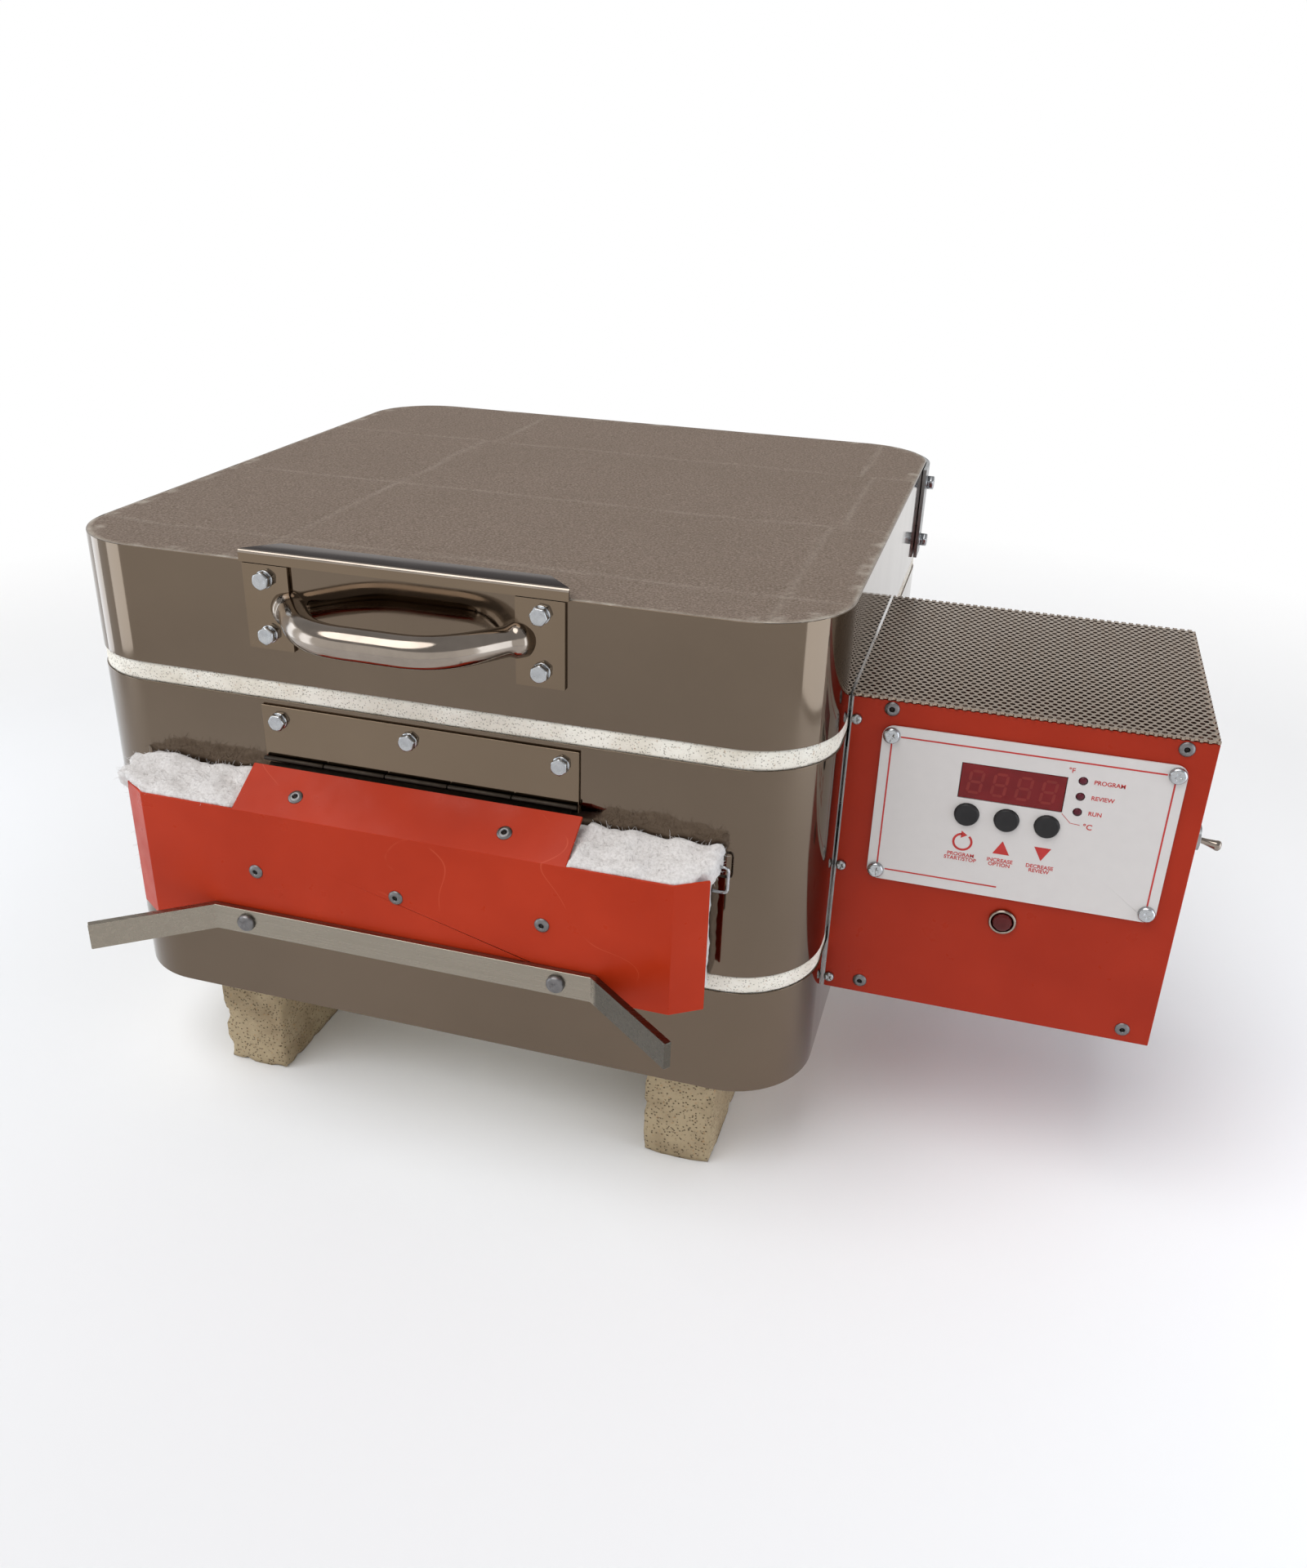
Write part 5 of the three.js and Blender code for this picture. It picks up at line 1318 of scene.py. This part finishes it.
def printed(name, outlines, material="red_print"):
    """Flat print: each outline is a loop of (x, z) pairs, or an (outer, inner) ribbon of two equal loops."""
    verts, faces = [], []

    def add(points, lift):
        start = len(verts)
        verts.extend(face_at(x, z, lift) for x, z in points)
        return list(range(start, start + len(points)))

    for outline in outlines:
        if isinstance(outline, tuple):
            outer, inner = outline
            rings = [add(ring, lift) for ring, lift in ((outer, PRINT), (inner, PRINT), (inner, -0.02), (outer, -0.02))]
            count = len(outer)
            for a, b in zip(rings, rings[1:] + rings[:1]):
                for i in range(count - 1):
                    faces.append([a[i], a[i + 1], b[i + 1], b[i]])
            faces.append([r[0] for r in rings])
            faces.append([r[-1] for r in rings][::-1])
        else:
            top = add(outline, PRINT)
            bottom = add(outline, -0.02)
            faces.append(top)
            faces.append(bottom[::-1])
            count = len(outline)
            for i in range(count):
                j = (i + 1) % count
                faces.append([top[i], bottom[i], bottom[j], top[j]])
    return piece(name, verts, faces, material, "kiln", "face_plate", smooth=False)


def ribbon(points, width):
    """A line of even width as an (outer, inner) pair."""
    outer, inner = [], []
    for i, (x, z) in enumerate(points):
        before = points[max(i - 1, 0)]
        after = points[min(i + 1, len(points) - 1)]
        dx, dz = after[0] - before[0], after[1] - before[1]
        length = math.hypot(dx, dz)
        nx, nz = -dz / length * width / 2, dx / length * width / 2
        outer.append((x + nx, z + nz))
        inner.append((x - nx, z - nz))
    return outer, inner


def arc(cx, cz, radius, start, end, steps=24):
    return [
        (cx + radius * math.cos(start + (end - start) * i / steps),
         cz + radius * math.sin(start + (end - start) * i / steps))
        for i in range(steps + 1)
    ]


def build_border():
    """The red line inside the plate's rim, open where the plate has no print."""
    x, top = 58.4, 33.15
    width = 0.7
    reach = 3.6
    lines = [
        ribbon([(-x + reach, top), (x - reach, top)], width),
        ribbon([(-x, top - reach), (-x, -top + reach)], width),
        ribbon([(x, top - reach), (x, -top + reach)], width),
        ribbon([(-x + reach, -top + 0.8), (-5.2, -top + 0.8)], width),
    ]
    printed("border_line", lines)


def build_icons():
    icon_z = LID_TOP - 107.9 - FACE_Z
    xs = [(local(n)[0].x + local(n)[1].x) / 2 - BOX_X for n in ("button_start", "button_increase", "button_decrease")]
    start, end = math.radians(100), math.radians(100 + 318)
    loop = ribbon(arc(xs[0], icon_z, 3.9, start, end - 0.15, 40), 1.0)
    tip = (xs[0] + 3.9 * math.cos(start), icon_z + 3.9 * math.sin(start))
    head = [(tip[0] + 2.4, tip[1] - 0.3), (tip[0] - 0.3, tip[1] + 1.6), (tip[0] - 0.3, tip[1] - 2.0)]
    up = [(xs[1] - 3.6, icon_z - 3.2), (xs[1] + 3.6, icon_z - 3.2), (xs[1], icon_z + 3.4)]
    down = [(xs[2] - 3.6, icon_z + 3.2), (xs[2], icon_z - 3.4), (xs[2] + 3.6, icon_z + 3.2)]
    printed("control_signs", [loop, head, up, down])
    wx = (local("display_window")[1].x) - BOX_X
    wz = local("display_window")[0].z - FACE_Z
    printed("unit_leader", [ribbon([(wx + 0.3, wz - 0.6), (wx + 4.4, wz - 4.6), (wx + 8.4, wz - 4.9)], 0.25)])


def words(name, text, x, z, size, align="LEFT", bold=0.0):
    """Printed words, as a thin mesh on the plate."""
    curve = bpy.data.curves.new(name, "FONT")
    curve.body = text
    curve.size = size * MM
    curve.align_x = align
    curve.align_y = "CENTER"
    curve.offset = bold * MM
    curve.space_line = 0.85
    curve.extrude = 0.03 * MM
    curve.resolution_u = 4
    maker = bpy.data.objects.new(name + "_curve", curve)
    bpy.context.scene.collection.objects.link(maker)
    graph = bpy.context.evaluated_depsgraph_get()
    mesh = bpy.data.meshes.new_from_object(maker.evaluated_get(graph))
    bpy.data.objects.remove(maker)
    place = Matrix.Translation(face_at(x, z, 0.03)) @ Matrix.Rotation(math.pi / 2, 4, "X")
    mesh.transform(place)
    return dress(mesh, name, "red_print", "kiln", smooth=False)


def build_words():
    led_x = (local("led_run")[0].x + local("led_run")[1].x) / 2 - BOX_X
    for name, text in (("led_program", "PROGRAM"), ("led_review", "REVIEW"), ("led_run", "RUN")):
        low, high = local(name)
        words("word_" + text.lower(), text, led_x + 4.4, (low.z + high.z) / 2 - FACE_Z, 2.7, bold=0.05)
    words("word_fahrenheit", "°F", led_x - 6.6, LID_TOP - 66.4 - FACE_Z, 3.2, bold=0.04)
    words("word_celsius", "°C", led_x + 3.2, LID_TOP - 91.7 - FACE_Z, 3.6, bold=0.06)
    z = LID_TOP - 115.4 - FACE_Z
    captions = (("button_start", "PROGRAM\nSTART/STOP"), ("button_increase", "INCREASE\nOPTION"), ("button_decrease", "DECREASE\nREVIEW"))
    for name, text in captions:
        low, high = local(name)
        words("word_" + name, text, (low.x + high.x) / 2 - BOX_X, z, 2.5, "CENTER", 0.05)


def build_digits():
    """Unlit seven-segment figures behind the window's face."""
    low, high = local("display_window")
    cx, cz = (low.x + high.x) / 2 - BOX_X, (low.z + high.z) / 2 - FACE_Z
    face = low.y
    w, h, t, slant = 5.2, 10.2, 1.25, 0.1
    parts = []

    def bar(x0, z0, x1, z1):
        dx, dz = x1 - x0, z1 - z0
        length = math.hypot(dx, dz)
        ux, uz = dx / length, dz / length
        nx, nz = -uz * t / 2, ux * t / 2
        gap = 0.25 + t / 2
        ax, az = x0 + ux * gap, z0 + uz * gap
        bx, bz = x1 - ux * gap, z1 - uz * gap
        loop = [
            (x0 + ux * 0.25, z0 + uz * 0.25), (ax - nx, az - nz), (bx - nx, bz - nz),
            (x1 - ux * 0.25, z1 - uz * 0.25), (bx + nx, bz + nz), (ax + nx, az + nz),
        ]
        front = [at(BOX_X + x + slant * (z - cz), face - 0.03, FACE_Z + z) for x, z in loop]
        rear = [at(BOX_X + x + slant * (z - cz), face + 0.05, FACE_Z + z) for x, z in loop]
        sides = [[i, 6 + i, 6 + (i + 1) % 6, (i + 1) % 6] for i in range(6)]
        parts.append((front + rear, [list(range(6)), list(range(6, 12))[::-1], *sides]))

    for k in range(4):
        x = cx + (k - 1.5) * 10.2
        left, right, low_z, high_z = x - w / 2, x + w / 2, cz - h / 2, cz + h / 2
        for z in (low_z, cz, high_z):
            bar(left, z, right, z)
        for side in (left, right):
            bar(side, low_z, side, cz)
            bar(side, cz, side, high_z)
    piece("display_figures", *merged(*parts), "digit", "kiln", "dark_red_lens", smooth=False)


# ---------------------------------------------------------------- carried-over CAD nodes
KEPT = {
    "wall_left": ("brick", 1.2),
    "wall_right": ("brick", 1.2),
    "wall_back": ("brick", 1.2),
    "door_lintel": ("brick", 1.2),
    "handle_plate_left": ("plate", 0.3),
    "handle_plate_right": ("plate", 0.3),
    "lid_hinge_lower_leaf": ("zinc", 0.2),
    "lid_hinge_upper_leaf": ("zinc", 0.2),
    "lid_hinge_pin": ("zinc", 0.3),
    "lid_strap_left": ("zinc", 0.4),
    "lid_strap_right": ("zinc", 0.4),
    "door_bar": ("aluminium", 0.35),
    "door_panel": ("door", 0.35),
    "box_standoff_front": ("zinc", 0.3),
    "box_standoff_rear": ("zinc", 0.3),
    "box_chassis": ("orange", 0.2),
    "front_panel": ("orange", 0.35),
    "back_panel": ("orange", 0.35),
    "face_plate": ("face", 0.15),
    "display_window": ("window", 0.2),
    "controller_board": ("board", 0.0),
    "terminal_block": ("porcelain", 0.8),
    "thermocouple": ("porcelain", 0.3),
    "toggle_body": ("zinc", 0.2),
    "toggle_nut": ("zinc", 0.3),
    "power_relay": ("black", 0.5),
    "cable_gland": ("black", 0.3),
}


def finish_nodes():
    for name, (material, bevel) in KEPT.items():
        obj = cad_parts[name]
        obj.data.materials.clear()
        obj.data.materials.append(MATERIAL[material])
        custom = obj.data.attributes.get("custom_normal")
        if custom:
            obj.data.attributes.remove(custom)
        obj.data.polygons.foreach_set("use_smooth", [True] * len(obj.data.polygons))
        soften(obj, max(bevel, 0.05), 2, 32, weld=True)


# ---------------------------------------------------------------- studio
def build_camera():
    yaw, pitch, roll = 0.269285, -0.459578, 0.0341675
    forward = Vector((-math.sin(yaw) * math.cos(pitch), math.cos(yaw) * math.cos(pitch), math.sin(pitch)))
    right = Vector((math.cos(yaw), math.sin(yaw), 0))
    up = right.cross(forward)
    side = right * math.cos(roll) + up * math.sin(roll)
    top = up * math.cos(roll) - right * math.sin(roll)
    data = bpy.data.cameras.new("camera")
    data.lens = 30.164
    data.sensor_width = 36
    data.clip_start, data.clip_end = 0.01, 50
    camera = bpy.data.objects.new("camera", data)
    bpy.context.scene.collection.objects.link(camera)
    basis = Matrix((side, top, -forward)).transposed().to_4x4()
    camera.matrix_world = Matrix.Translation((0.153551, -0.624333, 0.453813)) @ basis
    bpy.context.scene.camera = camera


def build_stage():
    """A pale round floor that curves up into a low wall."""
    profile = [(r, 0.0) for r in (0, 400, 900, 1500, 2100, 2500)]
    profile += [(2500 + 500 * math.sin(a), 500 - 500 * math.cos(a)) for a in np.linspace(0.15, math.pi / 2, 9)]
    profile += [(3000, 900), (3000, 1500)]
    verts, faces = lathe(profile, Vector((0, 0, 0)), (0, 0, 1), 96)
    mesh = bpy.data.meshes.new("stage")
    mesh.from_pydata([tuple(v) for v in verts], [], faces)
    mesh.materials.append(floor_material())
    mesh.polygons.foreach_set("use_smooth", [True] * len(mesh.polygons))
    floor = bpy.data.objects.new("stage", mesh)
    bpy.context.scene.collection.objects.link(floor)


def area_light(name, place, target, size, power, height=None):
    data = bpy.data.lights.new(name, "AREA")
    data.shape = "RECTANGLE"
    data.size = size
    data.size_y = height or size
    data.energy = power
    data.color = (0.84, 0.95, 1.08)
    lamp = bpy.data.objects.new(name, data)
    bpy.context.scene.collection.objects.link(lamp)
    lamp.location = place
    lamp.rotation_mode = "QUATERNION"
    lamp.rotation_quaternion = (Vector(target) - Vector(place)).to_track_quat("-Z", "Y")
    lamp.visible_camera = False
    return lamp


def build_lights():
    world = bpy.data.worlds.new("world")
    world.use_nodes = True
    world.node_tree.nodes["Background"].inputs["Color"].default_value = (0.4, 0.4, 0.41, 1)
    world.node_tree.nodes["Background"].inputs["Strength"].default_value = 1.0
    bpy.context.scene.world = world
    sun = bpy.data.lights.new("soft_sun", "SUN")
    sun.energy = 1.82
    sun.angle = math.radians(50)
    lamp = bpy.data.objects.new("soft_sun", sun)
    bpy.context.scene.collection.objects.link(lamp)
    lamp.rotation_mode = "QUATERNION"
    lamp.rotation_quaternion = Vector((0.32, 0.4, -1.0)).to_track_quat("-Z", "Y")
    area_light("panel_left", (-0.75, -0.455, 0.26), (-0.235, -0.145, 0.22), 0.23, 0.68, 0.5)
    area_light("panel_far_left", (-0.83, -0.06, 0.26), (-0.235, -0.145, 0.22), 0.2, 0.6, 0.5)
    area_light("panel_right", (0.64, -0.12, 0.26), (0.085, -0.135, 0.24), 0.46, 1.2, 0.5)


# ---------------------------------------------------------------- assembly
build_camera()
build_stage()
build_lights()
finish_nodes()
build_bands()
band_seams()
build_lid_brick()
build_floor_brick()
build_feet()
build_coil()
build_handle()
build_guard()
build_lid_bolts()
build_hinge_screws()
build_door_hinge()
build_door_fasteners()
fibre_strands(build_fibre())
build_wire_clip()
build_perforated_cover()
build_box_fasteners()
build_controls()
build_lamp()
build_toggle()
build_border()
build_icons()
build_words()
build_digits()

scene = bpy.context.scene
scene.view_settings.view_transform = "Standard"
